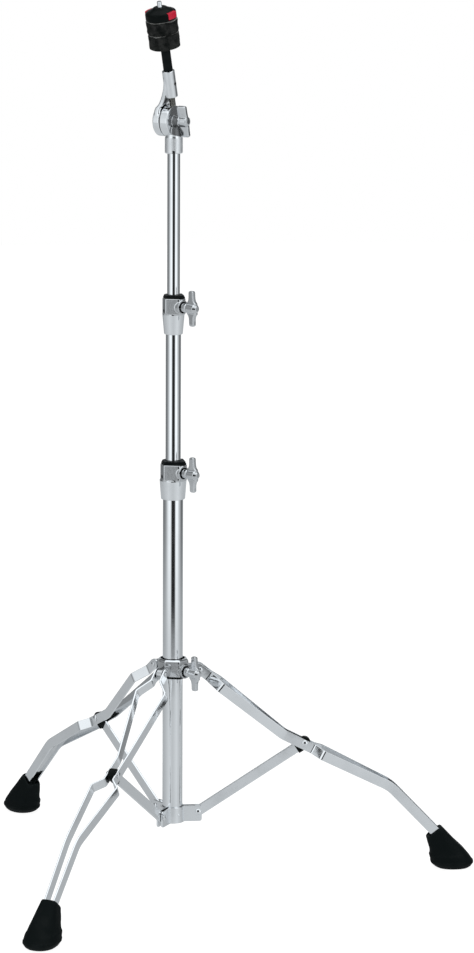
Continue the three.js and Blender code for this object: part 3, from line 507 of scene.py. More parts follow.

# clean and dull roughness, haze scale, peel scale and depth, hairlines, shade (below 1 painted
# shade, above 1 painted light)
CHROMES = {
    "tube_chrome": (0.03, 0.07, 14.0, 120.0, 0.04, 0.02, 1.0),
    "strip_chrome": (0.06, 0.11, 22.0, 160.0, 0.12, 0.04, 1.0),
    "cast_chrome": (0.1, 0.17, 60.0, 260.0, 0.3, 0.03, 0.78),
    "collar_chrome": (0.09, 0.15, 60.0, 260.0, 0.35, 0.03, 0.6),
    "bolt_chrome": (0.08, 0.13, 90.0, 330.0, 0.3, 0.03, 0.85),
    "tilter_chrome": (0.06, 0.11, 60.0, 260.0, 0.2, 0.02, 1.03),
    "satin_chrome": (0.4, 0.5, 60.0, 420.0, 0.5, 0.02, 1.03),
    # painted shade: a dark, dull chrome for bolt holes and the sleeve's notch
    "painted_shade_recess": (0.45, 0.6, 120.0, 420.0, 0.5, 0.0, 0.05),
    # painted shade: a darker, duller chrome behind the wing bolt and in the arm's window
    "painted_shade_dull": (0.3, 0.45, 90.0, 420.0, 0.5, 0.0, 0.22),
    "rod_plate": (0.14, 0.25, 120.0, 500.0, 0.4, 0.1, 1.0),
}

# colour, colour where rubbed, clean and dull roughness, grain scale and depth, dust, coat
MOULDED = {
    "black_nylon": (
        (0.004, 0.0055, 0.006), (0.02, 0.022, 0.024), 0.32, 0.46, 1400.0, 0.8, 0.04, 0.0),
    "black_plastic": (
        (0.0032, 0.0045, 0.0045), (0.014, 0.017, 0.018), 0.26, 0.38, 900.0, 0.5, 0.04, 0.0),
    "boot_rubber": (
        (0.003, 0.0048, 0.005), (0.014, 0.018, 0.019), 0.5, 0.66, 1100.0, 1.2, 0.05, 0.0),
    "red_plastic": (
        (0.43, 0.01, 0.032), (0.55, 0.07, 0.09), 0.16, 0.26, 700.0, 0.3, 0.02, 0.3),
    "black_oxide": (
        (0.02, 0.02, 0.022), (0.2, 0.2, 0.2), 0.3, 0.45, 900.0, 0.4, 0.02, 0.0),
}
STUD_COLORS = ((0.2, 0.2, 0.18), (0.22, 0.215, 0.195), (0.13, 0.13, 0.118))
STUD_HAZE = (120.0, 0.24, 0.42)

for name, row in CHROMES.items():
    chrome_finish(name, *row)
for name, row in MOULDED.items():
    moulded(name, *row)
felted("charcoal_felt", (0.0028, 0.0038, 0.0036), (0.021, 0.022, 0.0215))
# painted highlight: a pale felt for the line along each felt's upper edge
felted("painted_highlight_felt", (0.08, 0.085, 0.083), (0.24, 0.245, 0.24))
tree, inputs = new_material("plated_stud", STUD_COLORS[0], Metallic=1.0)
duller = hazed(tree, inputs, *STUD_HAZE)
feed(tree, inputs["Base Color"], mix_node(tree, duller, *STUD_COLORS[1:]))
print("finishes", list(finishes))

# %% [markdown]
# ## Drawing tools
#
# Nearly every piece is one of four things: a body turned on a lathe, a plate cut to an outline,
# a strip swept along a route, or a casting. The first three are made here as points and faces,
# with every edge eased, because a real edge always catches a line of light.

# %% Rounding
EASE_SHARE = 0.48
MITRE_LIMIT = 1.2
ROUND_STEPS = 3


def turns(sides):
    """Equal steps of a full turn."""
    return [FULL_TURN * i / sides for i in range(sides)]


def quarter(steps):
    """Sine and cosine at equal steps of a quarter turn."""
    angles = [math.pi / 2 * step / steps for step in range(steps + 1)]
    return [(math.sin(angle), math.cos(angle)) for angle in angles]


def squared_circle(sides, power):
    """Points round a shape between a circle and a square, from a power of 2 upwards."""
    points = []
    for angle in turns(sides):
        c, s = math.cos(angle), math.sin(angle)
        size = (abs(c) ** power + abs(s) ** power) ** (-1 / power)
        points.append((size * c, size * s))
    return points


def rounded(start, corner, end, steps):
    """A smooth curve from start to end that leans towards the corner."""
    shares = [step / steps for step in range(steps + 1)]
    return [start.lerp(corner, t).lerp(corner.lerp(end, t), t) for t in shares]


def eased(corners, ease, steps=ROUND_STEPS, closed=True):
    """Rounds the corners of a 2D outline. ease is one length, or one for each corner."""
    points = [Vector(corner) for corner in corners]
    count = len(points)
    lengths = [ease] * count if isinstance(ease, (int, float)) else list(ease)
    if not closed:
        lengths[0] = lengths[-1] = 0
    route = []
    for i, point in enumerate(points):
        if not lengths[i]:
            route.append(point)
            continue
        back, ahead = points[i - 1] - point, points[(i + 1) % count] - point
        trim = min(lengths[i], back.length * EASE_SHARE, ahead.length * EASE_SHARE)
        start = point + back.normalized() * trim
        end = point + ahead.normalized() * trim
        route += rounded(start, point, end, steps)
    return route


def arc(x, y, radius, start, end, steps):
    angles = [start + (end - start) * i / steps for i in range(steps + 1)]
    return [Vector((x + radius * math.cos(a), y + radius * math.sin(a))) for a in angles]


def tongue(inner, low, high, bow):
    """An outline with two corners at its inner end and a bow round its outer end."""
    return [Vector((inner, low)), *bow, Vector((inner, high))]


def inset(outline, distance):
    """Moves a counter-clockwise outline inwards."""
    count = len(outline)
    inner = []
    for i in range(count):
        back = (outline[i] - outline[i - 1]).normalized()
        ahead = (outline[(i + 1) % count] - outline[i]).normalized()
        normal = Vector((-(back.y + ahead.y), back.x + ahead.x))
        length = max(normal.length, MITRE_LIMIT)
        inner.append(outline[i] + normal * (2 * distance / length ** 2))
    return inner


# %% Turning and lofting
TURN_SIDES = 72
SMALL_SIDES = 36
TINY = 1e-6


def bridged(rings, closed=False):
    """Faces between neighbouring rings of point numbers; a ring of one point makes a fan."""
    faces = []
    pairs = list(zip(rings, rings[1:]))
    if closed:
        pairs.append((rings[-1], rings[0]))
    for low, high in pairs:
        count = max(len(low), len(high))
        for i in range(count):
            j = (i + 1) % count
            face = (low[i % len(low)], low[j % len(low)], high[j % len(high)], high[i % len(high)])
            kept = [c for k, c in enumerate(face) if c not in face[:k]]
            if len(kept) > 2:
                faces.append(kept)
    return faces


def turned(profile, closed=False, sides=TURN_SIDES):
    """A body turned about Z. The profile runs up the outside, as pairs of radius and height."""
    points, rings = [], []
    for radius, height in profile:
        angles = turns(sides) if abs(radius) > TINY else [0]
        rings.append(list(range(len(points), len(points) + len(angles))))
        points += [Vector((radius * math.cos(a), radius * math.sin(a), height)) for a in angles]
    return points, bridged(rings, closed)


def lathe(corners, ease=0, closed=False, steps=ROUND_STEPS, sides=TURN_SIDES):
    """Turns a profile of rows of radius, height and, where it isn't the shared one, ease."""
    eases = [corner[2] if len(corner) > 2 else ease for corner in corners]
    return turned(eased([corner[:2] for corner in corners], eases, steps, closed), closed, sides)


def cylinder(radius, low, high, sides=TURN_SIDES):
    return turned([(0, low), (radius, low), (radius, high), (0, high)], sides=sides)


def drum(radius, low, high, low_ease, high_ease, steps=ROUND_STEPS, sides=TURN_SIDES):
    """A cylinder whose edges are eased."""
    profile = [(0, low), (radius, low, low_ease), (radius, high, high_ease), (0, high)]
    return lathe(profile, steps=steps, sides=sides)


def ring(inner, outer, low, high, ease, sides=TURN_SIDES):
    """A pipe or washer with its four edges eased."""
    profile = [(inner, low), (outer, low), (outer, high), (inner, high)]
    return lathe(profile, ease, closed=True, sides=sides)


def lofted(sections, closed=False):
    """Skins rows of points, and closes the first and the last unless they join."""
    points = [Vector(p) for section in sections for p in section]
    count = len(sections[0])
    rings = [list(range(i * count, (i + 1) * count)) for i in range(len(sections))]
    faces = bridged(rings, closed)
    if not closed:
        faces += [rings[0][::-1], rings[-1]]
    return points, faces


def shaped(part, matrix):
    points, faces = part
    return [matrix @ point for point in points], faces


# %% Plates and faceted outlines
FLANKS = [math.radians(54), math.radians(97)]
CLAMP_FLANKS = [math.radians(54), math.radians(115)]
FACE_EASE = 1.6
FLANK_EASE = 0.5
BACK_STEPS = 40
FACET_STEPS = 4


def plate(outline, low, high, ease, bore=None):
    """A plate cut to a counter-clockwise outline, with rounded rims and, if asked, a round bore."""
    rims = [(ease * (1 - sine), ease * (1 - cosine)) for sine, cosine in quarter(ROUND_STEPS)]
    levels = [(inward, low + drop) for inward, drop in rims]
    levels += [(inward, high - drop) for inward, drop in reversed(rims)]
    sections = [[(p.x, p.y, level) for p in inset(outline, inward)] for inward, level in levels]
    if bore is None:
        return lofted(sections)
    inner = [p.normalized() * bore for p in outline]
    sections.insert(0, [(p.x, p.y, low) for p in inner])
    sections.append([(p.x, p.y, high) for p in inner])
    return lofted(sections, closed=True)


def faceted(radius, face_distance, corner=FACE_EASE, flanks=FLANKS):
    """A clamp seen from above: round at the back, two flat flanks on each side, a flat face."""
    facets = [(0.0, face_distance)] + [(angle, radius) for angle in flanks]
    half = []
    for (angle, near), (next_angle, far) in zip(facets, facets[1:]):
        wide = math.sin(next_angle - angle)
        half.append(Vector((
            (near * math.sin(next_angle) - far * math.sin(angle)) / wide,
            (far * math.cos(angle) - near * math.cos(next_angle)) / wide,
        )))
    back = arc(0, 0, radius, flanks[-1], FULL_TURN - flanks[-1], BACK_STEPS)
    other_half = [Vector((p.x, -p.y)) for p in reversed(half)]
    eases = [corner, FLANK_EASE] + [0] * len(back) + [FLANK_EASE, corner]
    return eased(half + back + other_half, eases, FACET_STEPS)


# %% [markdown]
# ### Castings
#
# A die casting has no sharp inside corners: where a boss meets a body, metal flows into a small
# fillet. Overlapping shells are fused by a voxel remesh and relaxed a little, which makes those
# fillets by itself. Bores and pockets are cut afterwards, so that machined edges stay crisp.

# %% Meshes, castings and cuts
SHARP_ANGLE = math.radians(38)
VOXEL = 0.42
RELAX_STEPS = 5
PAST_CUT = 2
INTO_SHELL = 1


def mesh_from(name, parts):
    """One mesh from shells, with all faces turned outwards."""
    points, faces = [], []
    for part_points, part_faces in parts:
        first = len(points)
        points.extend(part_points)
        faces.extend([first + corner for corner in face] for face in part_faces)
    mesh = bpy.data.meshes.new(name)
    mesh.from_pydata([tuple(p) for p in points], [], faces)
    work = bmesh.new()
    work.from_mesh(mesh)
    bmesh.ops.recalc_face_normals(work, faces=work.faces)
    work.to_mesh(mesh)
    work.free()
    return mesh


def applied(made):
    """Applies an object's modifiers to its mesh."""
    bpy.context.view_layer.update()
    shown = made.evaluated_get(bpy.context.evaluated_depsgraph_get())
    mesh = bpy.data.meshes.new_from_object(shown)
    old = made.data
    made.modifiers.clear()
    made.data = mesh
    bpy.data.meshes.remove(old)


def fused(name, shells, cuts=(), voxel=VOXEL, relax=RELAX_STEPS):
    """Fuses shells into one body with fillets, then cuts it."""
    made = loose_object(name, mesh_from(name, shells))
    remesh = made.modifiers.new("fuse", "REMESH")
    remesh.mode = "VOXEL"
    remesh.voxel_size = voxel
    ease = made.modifiers.new("ease", "SMOOTH")
    ease.factor = HALF
    ease.iterations = relax
    applied(made)
    for number, tool in enumerate(cuts):
        cutter = loose_object(f"{name}_cut_{number}", mesh_from("cut", [tool]))
        carve = made.modifiers.new("carve", "BOOLEAN")
        carve.operation = "DIFFERENCE"
        carve.solver = "EXACT"
        carve.object = cutter
        applied(made)
        bpy.data.objects.remove(cutter)
    mesh = made.data
    bpy.data.objects.remove(made)
    return mesh


def piece(name, mesh, place, finish, slot, body, *stands_for):
    """Puts a mesh, or a list of shells, in place as a piece of the stand."""
    if isinstance(mesh, list):
        mesh = mesh_from(name, mesh)
    mesh.name = name
    mesh.transform(place)
    mesh.materials.clear()
    mesh.materials.append(finishes[finish])
    mesh.polygons.foreach_set("use_smooth", [True] * len(mesh.polygons))
    mesh.set_sharp_from_angle(angle=SHARP_ANGLE)
    made = loose_object(name, mesh)
    weighted = made.modifiers.new("flat_faces_lead", "WEIGHTED_NORMAL")
    weighted.keep_sharp = True
    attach(made, body)
    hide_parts(*stands_for)
    print(name, len(mesh.polygons), "faces")
    return made


# %% [markdown]
# Faces that a test picks get a second finish, and the test sees them in the drawing's own lengths.
# Most are painted light: dark chrome as painted shade, bright chrome or felt as painted highlights.

# %% A second finish on some of the faces
def second_finish(made, place, finish, picked):
    back = place.inverted()
    turn = back.to_3x3()
    made.data.materials.append(finishes[finish])
    count = 0
    for polygon in made.data.polygons:
        if picked(back @ polygon.center, (turn @ polygon.normal).normalized()):
            polygon.material_index = len(made.data.materials) - 1
            count += 1
    print(made.name, finish, count, "faces")


# %% [markdown]
# ## The three tubes
#
# Each tube is drawn steel, sawn off and deburred. A lathe profile with small eased rims is all
# that it takes, because the mirror finish does the rest.

# %% Tubes
RIM_EASE = 0.35
TUBE_WALL = 1.2
TUBE_SIDES = 96
BASE_RADIUS, MIDDLE_RADIUS, UPPER_RADIUS = 12.7, 9.55, 7.95
TUBES = [
    ("base_tube", BASE_RADIUS, 67.4, 506, "base"),
    ("middle_tube", MIDDLE_RADIUS, 292, 714, "middle_section"),
    ("upper_tube", UPPER_RADIUS, 546, 933.5, "upper_section"),
]
for tube_name, radius, bottom, top, body in TUBES:
    wall = ring(radius - TUBE_WALL, radius, bottom, top, RIM_EASE, TUBE_SIDES)
    piece(f"{tube_name}_skin", [wall], on_post(), "tube_chrome", "chrome", body, tube_name)

# %% [markdown]
# ## Rivets
#
# Every pivot is a solid rivet with a low dome on each side. A dome facing the camera mirrors the
# dark gap behind it, which gives each rivet its dark pupil. Its length follows from the flat
# steel that it holds together.

# %% Sizes of the flat steel, and its pivots
STRIP_HALF = 2.3 / 2
STRIP_HALF_DEPTH = 12.7 / 2
STAY_HALF = 3.0 / 2
STAY_HALF_DEPTH = 13.0 / 2
PLATE_HALF = 2.2 / 2
EAR_CLEAR = 0.6
CLOSE, UPPER_WIDE, LOWER_WIDE, KNEE_WIDE = 5.95, 20.0, 17.3, 7.4
COLLAR_PIVOT = (34.2, 264.5)
STAY_PIVOT = (167.4, 166.6)
BRACKET_PIVOT = (32.5, 79.0)

# %% Rivets
RIVET_SHANK = 2.4
LARGE_HEAD = (4.2, 1.9)
SMALL_HEAD = (3.2, 1.1)
RIVET_STEPS = 6
BRACKET_GRIP = STAY_HALF + EAR_CLEAR + 2 * PLATE_HALF + GAP
LEG_GRIP = CLOSE + STRIP_HALF + GAP
RIVETS = [
    ("bracket_rivet", BRACKET_PIVOT, BRACKET_GRIP, LARGE_HEAD, "base"),
    ("stay_rivet", STAY_PIVOT, LEG_GRIP, LARGE_HEAD, "leg_{}"),
    ("collar_rivet", COLLAR_PIVOT, LEG_GRIP, SMALL_HEAD, "leg_{}"),
]


def rivet(grip, head, rise):
    """A rivet along Y; grip is half the length between its heads."""
    top = [(RIVET_SHANK, grip), (head, grip)]
    top += [(head * cosine, grip + rise * sine) for sine, cosine in quarter(RIVET_STEPS)[1:]]
    bottom = [(radius, -height) for radius, height in reversed(top)]
    return shaped(turned(bottom + top, sides=SMALL_SIDES), UPRIGHT)


for n, leg_place in LEGS:
    for name, (radius, height), grip, head, body in RIVETS:
        piece(f"{name}_{n}_skin", [rivet(grip, *head)], leg_place @ shifted(radius, 0, height),
              "strip_chrome", "chrome", body.format(n), f"{name}_{n}")

# %% [markdown]
# ## Strips, stays and bracket plates
#
# Legs, stays and brackets are all bent from flat steel. One sweep serves them: it carries a
# rectangle with rounded edges along a route, and its height may shrink towards an end, which
# rounds that end off. The legs' strips keep close at each pivot and swing apart between them.

# %% Sweeping flat steel
EDGE = 0.55
END_STEPS = 8
BEND_STEPS = 6
THINNEST = 0.02


def flat_section(half_depth, half_thickness):
    """Points round a flat bar's section with rounded edges: pairs of depth and thickness."""
    ease = min(EDGE, half_depth * EASE_SHARE, half_thickness * EASE_SHARE)
    corners = [(half_depth, half_thickness), (-half_depth, half_thickness),
               (-half_depth, -half_thickness), (half_depth, -half_thickness)]
    return eased(corners, ease)


def swept(route, half_depths, half_thickness, depth_way):
    """Sweeps the section along a route. depth_way gives the depth's direction at a tangent."""
    sections = []
    for i, point in enumerate(route):
        along = (route[min(i + 1, len(route) - 1)] - route[max(i - 1, 0)]).normalized()
        depth = depth_way(along).normalized()
        across = depth.cross(along)
        section = flat_section(max(half_depths[i], THINNEST), half_thickness)
        sections.append([point + depth * s.x + across * s.y for s in section])
    return lofted(sections)


def rounded_end(start, outward, radius, reach):
    """Points past an end, with the half depths that round it to a circle."""
    steps = quarter(END_STEPS)[1:]
    points = [start + outward * (reach * sine) for sine, cosine in steps]
    return points, [radius * cosine for sine, cosine in steps]


def curve_through(stations):
    """Rounds each corner of a 3D route; stations are pairs of point and trim length."""
    points = [point for point, trim in stations]
    route = [points[0]]
    for before, (point, trim), after in zip(points, stations[1:], points[2:]):
        start = point + (before - point).normalized() * trim
        end = point + (after - point).normalized() * trim
        route += rounded(start, point, end, BEND_STEPS)
    return route + [points[-1]]


def in_leg_plane(along):
    return Vector((-along.z, 0, along.x))


def height_on(start, end, radius):
    return start[1] + (radius - start[0]) / (end[0] - start[0]) * (end[1] - start[1])


# %% Leg strips
BEND_RADIUS = 140.0
KNEE = (276.9, 108.7)
ANKLE = (333.2, 49.7)
PIVOT_DROP = 2.23
UNDER_PIVOT = (STAY_PIVOT[0], STAY_PIVOT[1] - PIVOT_DROP)
UPPER_JOGGLE = (11.5, 14.0)
LOWER_JOGGLE = (11.0, 11.0)
INTO_FOOT = 15.0
PAST_PIVOT = 9.0
SHARP_BEND, FIRST_BEND, SOFT_BEND = 2.0, 3.4, 9.0
BEND = (BEND_RADIUS, height_on(UNDER_PIVOT, KNEE, BEND_RADIUS))


def leg_strip(side):
    upper = COLLAR_PIVOT[0] + UPPER_JOGGLE[0]
    wide = upper + UPPER_JOGGLE[1]
    lower = STAY_PIVOT[0] + LOWER_JOGGLE[0]
    lower_wide = lower + LOWER_JOGGLE[1]
    slope = math.atan2(KNEE[1] - ANKLE[1], ANKLE[0] - KNEE[0])
    stations = [
        (*COLLAR_PIVOT, CLOSE, 0),
        (upper, height_on(COLLAR_PIVOT, BEND, upper), CLOSE, SHARP_BEND),
        (wide, height_on(COLLAR_PIVOT, BEND, wide), UPPER_WIDE, SHARP_BEND),
        (*BEND, CLOSE, FIRST_BEND),
        (lower, height_on(BEND, KNEE, lower), CLOSE, SHARP_BEND),
        (lower_wide, height_on(BEND, KNEE, lower_wide), LOWER_WIDE, SHARP_BEND),
        (*KNEE, KNEE_WIDE, SOFT_BEND),
        (*ANKLE, CLOSE, SHARP_BEND),
        (ANKLE[0] + INTO_FOOT * math.cos(slope), ANKLE[1] - INTO_FOOT * math.sin(slope), CLOSE, 0),
    ]
    route = curve_through([(Vector((x, side * y, z)), trim) for x, z, y, trim in stations])
    outward = (route[0] - route[1]).normalized()
    past, halves = rounded_end(route[0], outward, STRIP_HALF_DEPTH, PAST_PIVOT)
    half_depths = halves[::-1] + [STRIP_HALF_DEPTH] * len(route)
    return swept(past[::-1] + route, half_depths, STRIP_HALF, in_leg_plane)


for n, leg_place in LEGS:
    for side, side_name in ((1, "left"), (-1, "right")):
        piece(f"leg_{n}_{side_name}_skin", [leg_strip(side)], leg_place, "strip_chrome",
              "chrome", f"leg_{n}", f"leg_{n}_strip_{side_name}")

# %% Stays and their caps
STAY_STEPS = 4
CAP = {"radius": 7.7, "inward": 13.0, "outward": 7.6, "half": 4.5, "ease": 1.1, "corner": 0.8}
CAP_STEPS = 18
stay_start, stay_end = (Vector((x, 0, z)) for x, z in (BRACKET_PIVOT, STAY_PIVOT))
stay_way = (stay_end - stay_start).normalized()
stay_slope = math.atan2(stay_way.z, stay_way.x)


def stay_bar():
    near, near_halves = rounded_end(stay_start, -stay_way, STAY_HALF_DEPTH, STAY_HALF_DEPTH)
    far, far_halves = rounded_end(stay_end, stay_way, STAY_HALF_DEPTH, STAY_HALF_DEPTH)
    middle = [stay_start.lerp(stay_end, step / STAY_STEPS) for step in range(STAY_STEPS + 1)]
    halves = near_halves[::-1] + [STAY_HALF_DEPTH] * len(middle) + far_halves
    return swept(near[::-1] + middle + far, halves, STAY_HALF, in_leg_plane)


def stay_cap():
    """A moulded cap over the stay's outer end, round like the end inside it."""
    radius, half = CAP["radius"], CAP["half"]
    bow = arc(CAP["outward"] - radius, 0, radius, -math.pi / 2, math.pi / 2, CAP_STEPS)
    outline = eased(tongue(-CAP["inward"], -radius, radius, bow), CAP["corner"], 2)
    along_stay = Matrix.Rotation(-stay_slope, 4, "Y") @ UPRIGHT
    return shaped(plate(outline, -half, half, CAP["ease"]), shifted(*stay_end) @ along_stay)


for n, leg_place in LEGS:
    body = f"stay_{n}"
    piece(f"stay_{n}_skin", [stay_bar()], leg_place, "strip_chrome", "chrome", body, f"stay_{n}")
    piece(f"stay_cap_{n}_skin", [stay_cap()], leg_place, "black_plastic", "black_plastic", body,
          f"stay_cap_{n}")

# %% [markdown]
# The bracket is three pressed plates. Each leaves one leg as an ear, wraps a third of the tube
# and ends in the next leg's ear. A small pressed dimple keeps it from turning on the tube.

# %% Bracket plates
BRACKET_HALF = 10.2
BRACKET_DROP = 2.0
BRACKET_MIDDLE = BRACKET_PIVOT[1] - BRACKET_DROP
EAR_OFFSET = STAY_HALF + EAR_CLEAR + PLATE_HALF
EAR_END = BRACKET_PIVOT[0] + 4.6
WRAP_RADIUS = BASE_RADIUS + GAP + PLATE_HALF
WRAP_STEPS = 24
WRAP_TRIM = 2
CORNER = 3.0
CORNER_STEPS = 6
CREASE = 2.2
CREASE_EASE = CREASE * 1.6
CREASE_STEPS = 5
DIMPLE = {"radius": 2.1, "rise": 0.8, "skirt": 0.5, "root": 0.6, "sunk": 0.1}
DIMPLE_SIDES, DIMPLE_STEPS = 24, 5


def ear_half(distance):
    """Half the ear's height near its end, so that its corners come out round."""
    short = max(CORNER - distance, 0)
    return BRACKET_HALF - CORNER + math.sqrt(max(CORNER ** 2 - short ** 2, 0))


def bracket_plate():
    half_angle = math.asin(EAR_OFFSET / WRAP_RADIUS)
    near = WRAP_RADIUS * math.cos(half_angle)
    wrap = arc(0, 0, WRAP_RADIUS, half_angle, LEG_PITCH - half_angle, WRAP_STEPS)
    turn = Matrix.Rotation(LEG_PITCH, 2)
    crease = [(near + CREASE + CREASE, EAR_OFFSET), (near, EAR_OFFSET), wrap[WRAP_TRIM]]
    first = eased(crease, [0, CREASE_EASE, 0], CREASE_STEPS, closed=False)
    end_steps = [CORNER * (1 - cosine) for sine, cosine in quarter(CORNER_STEPS)]
    ear = [Vector((EAR_END - distance, EAR_OFFSET)) for distance in end_steps]
    ear_halves = [ear_half(distance) for distance in end_steps]
    next_ear = [turn @ Vector((p.x, -p.y)) for p in ear + first[:-1]][::-1]
    flat = ear + first[:-1] + wrap[WRAP_TRIM:-WRAP_TRIM] + next_ear
    halves = ear_halves + [BRACKET_HALF] * (len(flat) - 2 * len(ear)) + ear_halves[::-1]
    route = [Vector((p.x, p.y, BRACKET_MIDDLE)) for p in flat]
    return swept(route, halves, PLATE_HALF, lambda along: Vector((0, 0, 1)))


def bracket_dimple():
    rim = WRAP_RADIUS + PLATE_HALF
    root = rim - DIMPLE["root"]
    profile = [(0, root), (DIMPLE["radius"] + DIMPLE["skirt"], root)]
    profile += [(DIMPLE["radius"] * cosine, rim - DIMPLE["sunk"] + DIMPLE["rise"] * sine)
                for sine, cosine in quarter(DIMPLE_STEPS)]
    return shaped(turned(profile, sides=DIMPLE_SIDES), facing(LEG_PITCH / 2, BRACKET_MIDDLE))


for n, leg_place in LEGS:
    piece(f"bracket_plate_{n}_skin", [bracket_plate(), bracket_dimple()], leg_place,
          "strip_chrome", "casting", "base", f"bracket_plate_{n}")

# %% [markdown]
# ## Rubber boots
#
# A boot is moulded over the leg's end: an oval sole with a lip, a soft waist, and a neck that
# hugs both strips. It is lofted from rounded rings, closer together where the shape turns. The
# last two rings go down again inside, as the socket for the strips.

# %% Boots
RING_SIDES = 56

# radius of its middle, height, half length, half width, tilt, power of the squared circle
BOOT_RINGS = [
    (359.0, 0.0, 18.6, 15.0, 0.0, 2.2), (359.0, 0.35, 20.2, 16.5, 0.0, 2.2),
    (358.6, 2.2, 23.4, 18.7, 0.0, 2.2), (357.7, 6.2, 27.0, 21.2, 0.0, 2.3),
    (357.6, 7.2, 27.3, 21.5, 0.0, 2.3), (357.2, 9.4, 27.4, 21.5, 0.0, 2.3),
    (357.0, 10.0, 27.0, 21.1, 0.0, 2.3), (356.8, 10.6, 26.6, 20.8, 0.0, 2.3),
    (354.4, 15.2, 25.8, 20.3, 0.0, 2.4), (353.7, 16.7, 25.4, 20.0, 0.0, 2.4),
    (352.9, 18.0, 24.5, 19.2, 0.03, 2.5), (352.3, 19.6, 23.4, 18.2, 0.05, 2.5),
    (350.2, 23.4, 21.2, 16.9, 0.12, 2.7), (347.0, 28.0, 18.6, 15.5, 0.2, 2.9),
    (343.6, 32.4, 16.6, 14.4, 0.28, 3.1), (339.9, 37.6, 14.7, 12.9, 0.42, 3.4),
    (336.6, 42.6, 13.1, 11.3, 0.56, 3.8), (334.4, 45.9, 12.2, 10.5, 0.64, 4.0),
    (333.7, 47.0, 11.6, 9.9, 0.66, 4.0), (333.5, 47.3, 10.6, 9.3, 0.66, 4.0),
    (333.5, 47.3, 7.9, 8.1, 0.7, 7.0), (338.5, 42.2, 7.4, 7.7, 0.74, 7.0),
]


def boot_ring(radius, height, half_length, half_width, tilt, power):
    c, s = math.cos(tilt), math.sin(tilt)
    return [(radius + half_length * x * c, half_width * y, height + half_length * x * s)
            for x, y in squared_circle(RING_SIDES, power)]


for n, leg_place in LEGS:
    piece(f"boot_{n}", [lofted([boot_ring(*ring) for ring in BOOT_RINGS])], leg_place,
          "boot_rubber", "rubber", f"leg_{n}", f"foot_{n}")

# %% [markdown]
# ## Wing bolts
#
# A wing bolt is cast in one with its hub: the blades grow out of the hub, thin towards their
# round tips. Hub and blades are separate shells here, and the fusing makes the fillets between.

# %% Wing bolts
WING = {
    "collar": 5.9, "collar_length": 7.5, "hub": 6.3, "hub_length": 13.5, "dome": 3.0,
    "half_span": 22.2, "half_width": 3.8, "root": 7.6, "half_thickness": 2.65, "middle": 15.4,
    "roll": 0.03, "shank": 3.4,
}
TILT_WING = {
    "collar": 6.6, "collar_length": 1.5, "hub": 6.4, "hub_length": 10.4, "dome": 1.4,
    "half_span": 20.0, "half_width": 6.2, "root": 6.6, "half_thickness": 2.4, "middle": 6.4,
    "roll": 0.25, "shank": 3.0,
}
BLADE = {"steps": 20, "sides": 40, "power": 9, "tip": 2.2, "thin_share": 0.6}
ROOT_REACH, ROOT_FADE = 7.0, 2.4
HUB = {
    "sunk": 0.4, "bevel": 1.0, "seat": 0.7, "lead": 0.8, "shoulder": 2, "crown": 0.5, "rise": 0.6,
}
CROWN_SHARES = (0.86, 0.5)
BOLT_VOXEL, BOLT_RELAX = 0.36, 3
BOLT_AZIMUTH, TILT_AZIMUTH = -0.86, -0.63
LOWER_HEIGHT, UPPER_HEIGHT, TILT_HEIGHT = 517.2, 725.5, 955.0
COLLAR_FACE, LOWER_FACE, UPPER_FACE, BOSS_FACE = 23.5, 19.1, 17.15, 7.6
COLLAR_BORE = 15.3
PAST_ARM = -17.3
BOLTS = [
    ("collar", WING, COLLAR_BORE, COLLAR_FACE, BOLT_AZIMUTH, COLLAR_PIVOT[1]),
    ("lower", WING, BASE_RADIUS, LOWER_FACE, BOLT_AZIMUTH, LOWER_HEIGHT),
    ("upper", WING, MIDDLE_RADIUS, UPPER_FACE, BOLT_AZIMUTH, UPPER_HEIGHT),
    ("tilter", TILT_WING, PAST_ARM, BOSS_FACE, TILT_AZIMUTH, TILT_HEIGHT),
]


def blades(size):
    """Both blades as one loft from tip to tip, along Z, with the hub's axis along X."""
    sections = []
    tip = size["half_span"] - BLADE["tip"]
    outline = squared_circle(BLADE["sides"], BLADE["power"])
    for step in range(-BLADE["steps"], BLADE["steps"] + 1):
        height = size["half_span"] * math.sin(step / BLADE["steps"] * math.pi / 2)
        reach = abs(height)
        fading = math.exp(-max(reach - ROOT_REACH, 0) / ROOT_FADE)
        flare = size["half_width"] + (size["root"] - size["half_width"]) * fading
        over = max(reach - tip, 0) / BLADE["tip"]
        lost = BLADE["tip"] * (1 - math.sqrt(max(1 - over ** 2, 0)))
        wide, thin = flare - lost, size["half_thickness"] - lost * BLADE["thin_share"]
        sections.append([(wide * x, thin * y, height) for x, y in outline])
    return shaped(lofted(sections), shifted(size["middle"]))


def wing_bolt(name, size, shank_from, face):
    """A wing bolt along X; face is how far out its seat is."""
    start = GAP + size["collar_length"]
    end = start + size["hub_length"]
    collar, hub = size["collar"], size["hub"]
    crown, top = CROWN_SHARES
    profile = [
        (0, GAP - HUB["sunk"]), (collar - HUB["bevel"], GAP - HUB["sunk"]),
        (collar, GAP + HUB["seat"]), (collar, start - HUB["lead"]), (collar - HUB["lead"], start),
        (hub, start + HUB["shoulder"]), (hub, end - HUB["crown"]), (hub * crown, end + HUB["rise"]),
        (hub * top, end + size["dome"]), (0, end + size["dome"]),
    ]
    hub_shell = shaped(turned(profile, sides=SMALL_SIDES), ALONG_X)
    body = fused(name, [hub_shell, blades(size)], voxel=BOLT_VOXEL, relax=BOLT_RELAX)
    body.transform(shifted(face))
    shank = shaped(cylinder(size["shank"], shank_from, face + INTO_SHELL, SMALL_SIDES), ALONG_X)
    shank_mesh = mesh_from("shank", [shank])
    work = bmesh.new()
    work.from_mesh(body)
    work.from_mesh(shank_mesh)
    work.to_mesh(body)
    work.free()
    bpy.data.meshes.remove(shank_mesh)
    body.transform(Matrix.Rotation(size["roll"], 4, "X"))
    return body


for bolt_name, size, shank_from, face, azimuth, height in BOLTS:
    node = f"{bolt_name}_wing_bolt"
    piece(f"{node}_skin", wing_bolt(node, size, shank_from, face), on_post(azimuth, height),
          "bolt_chrome", "casting", f"{bolt_name}_bolt", node)
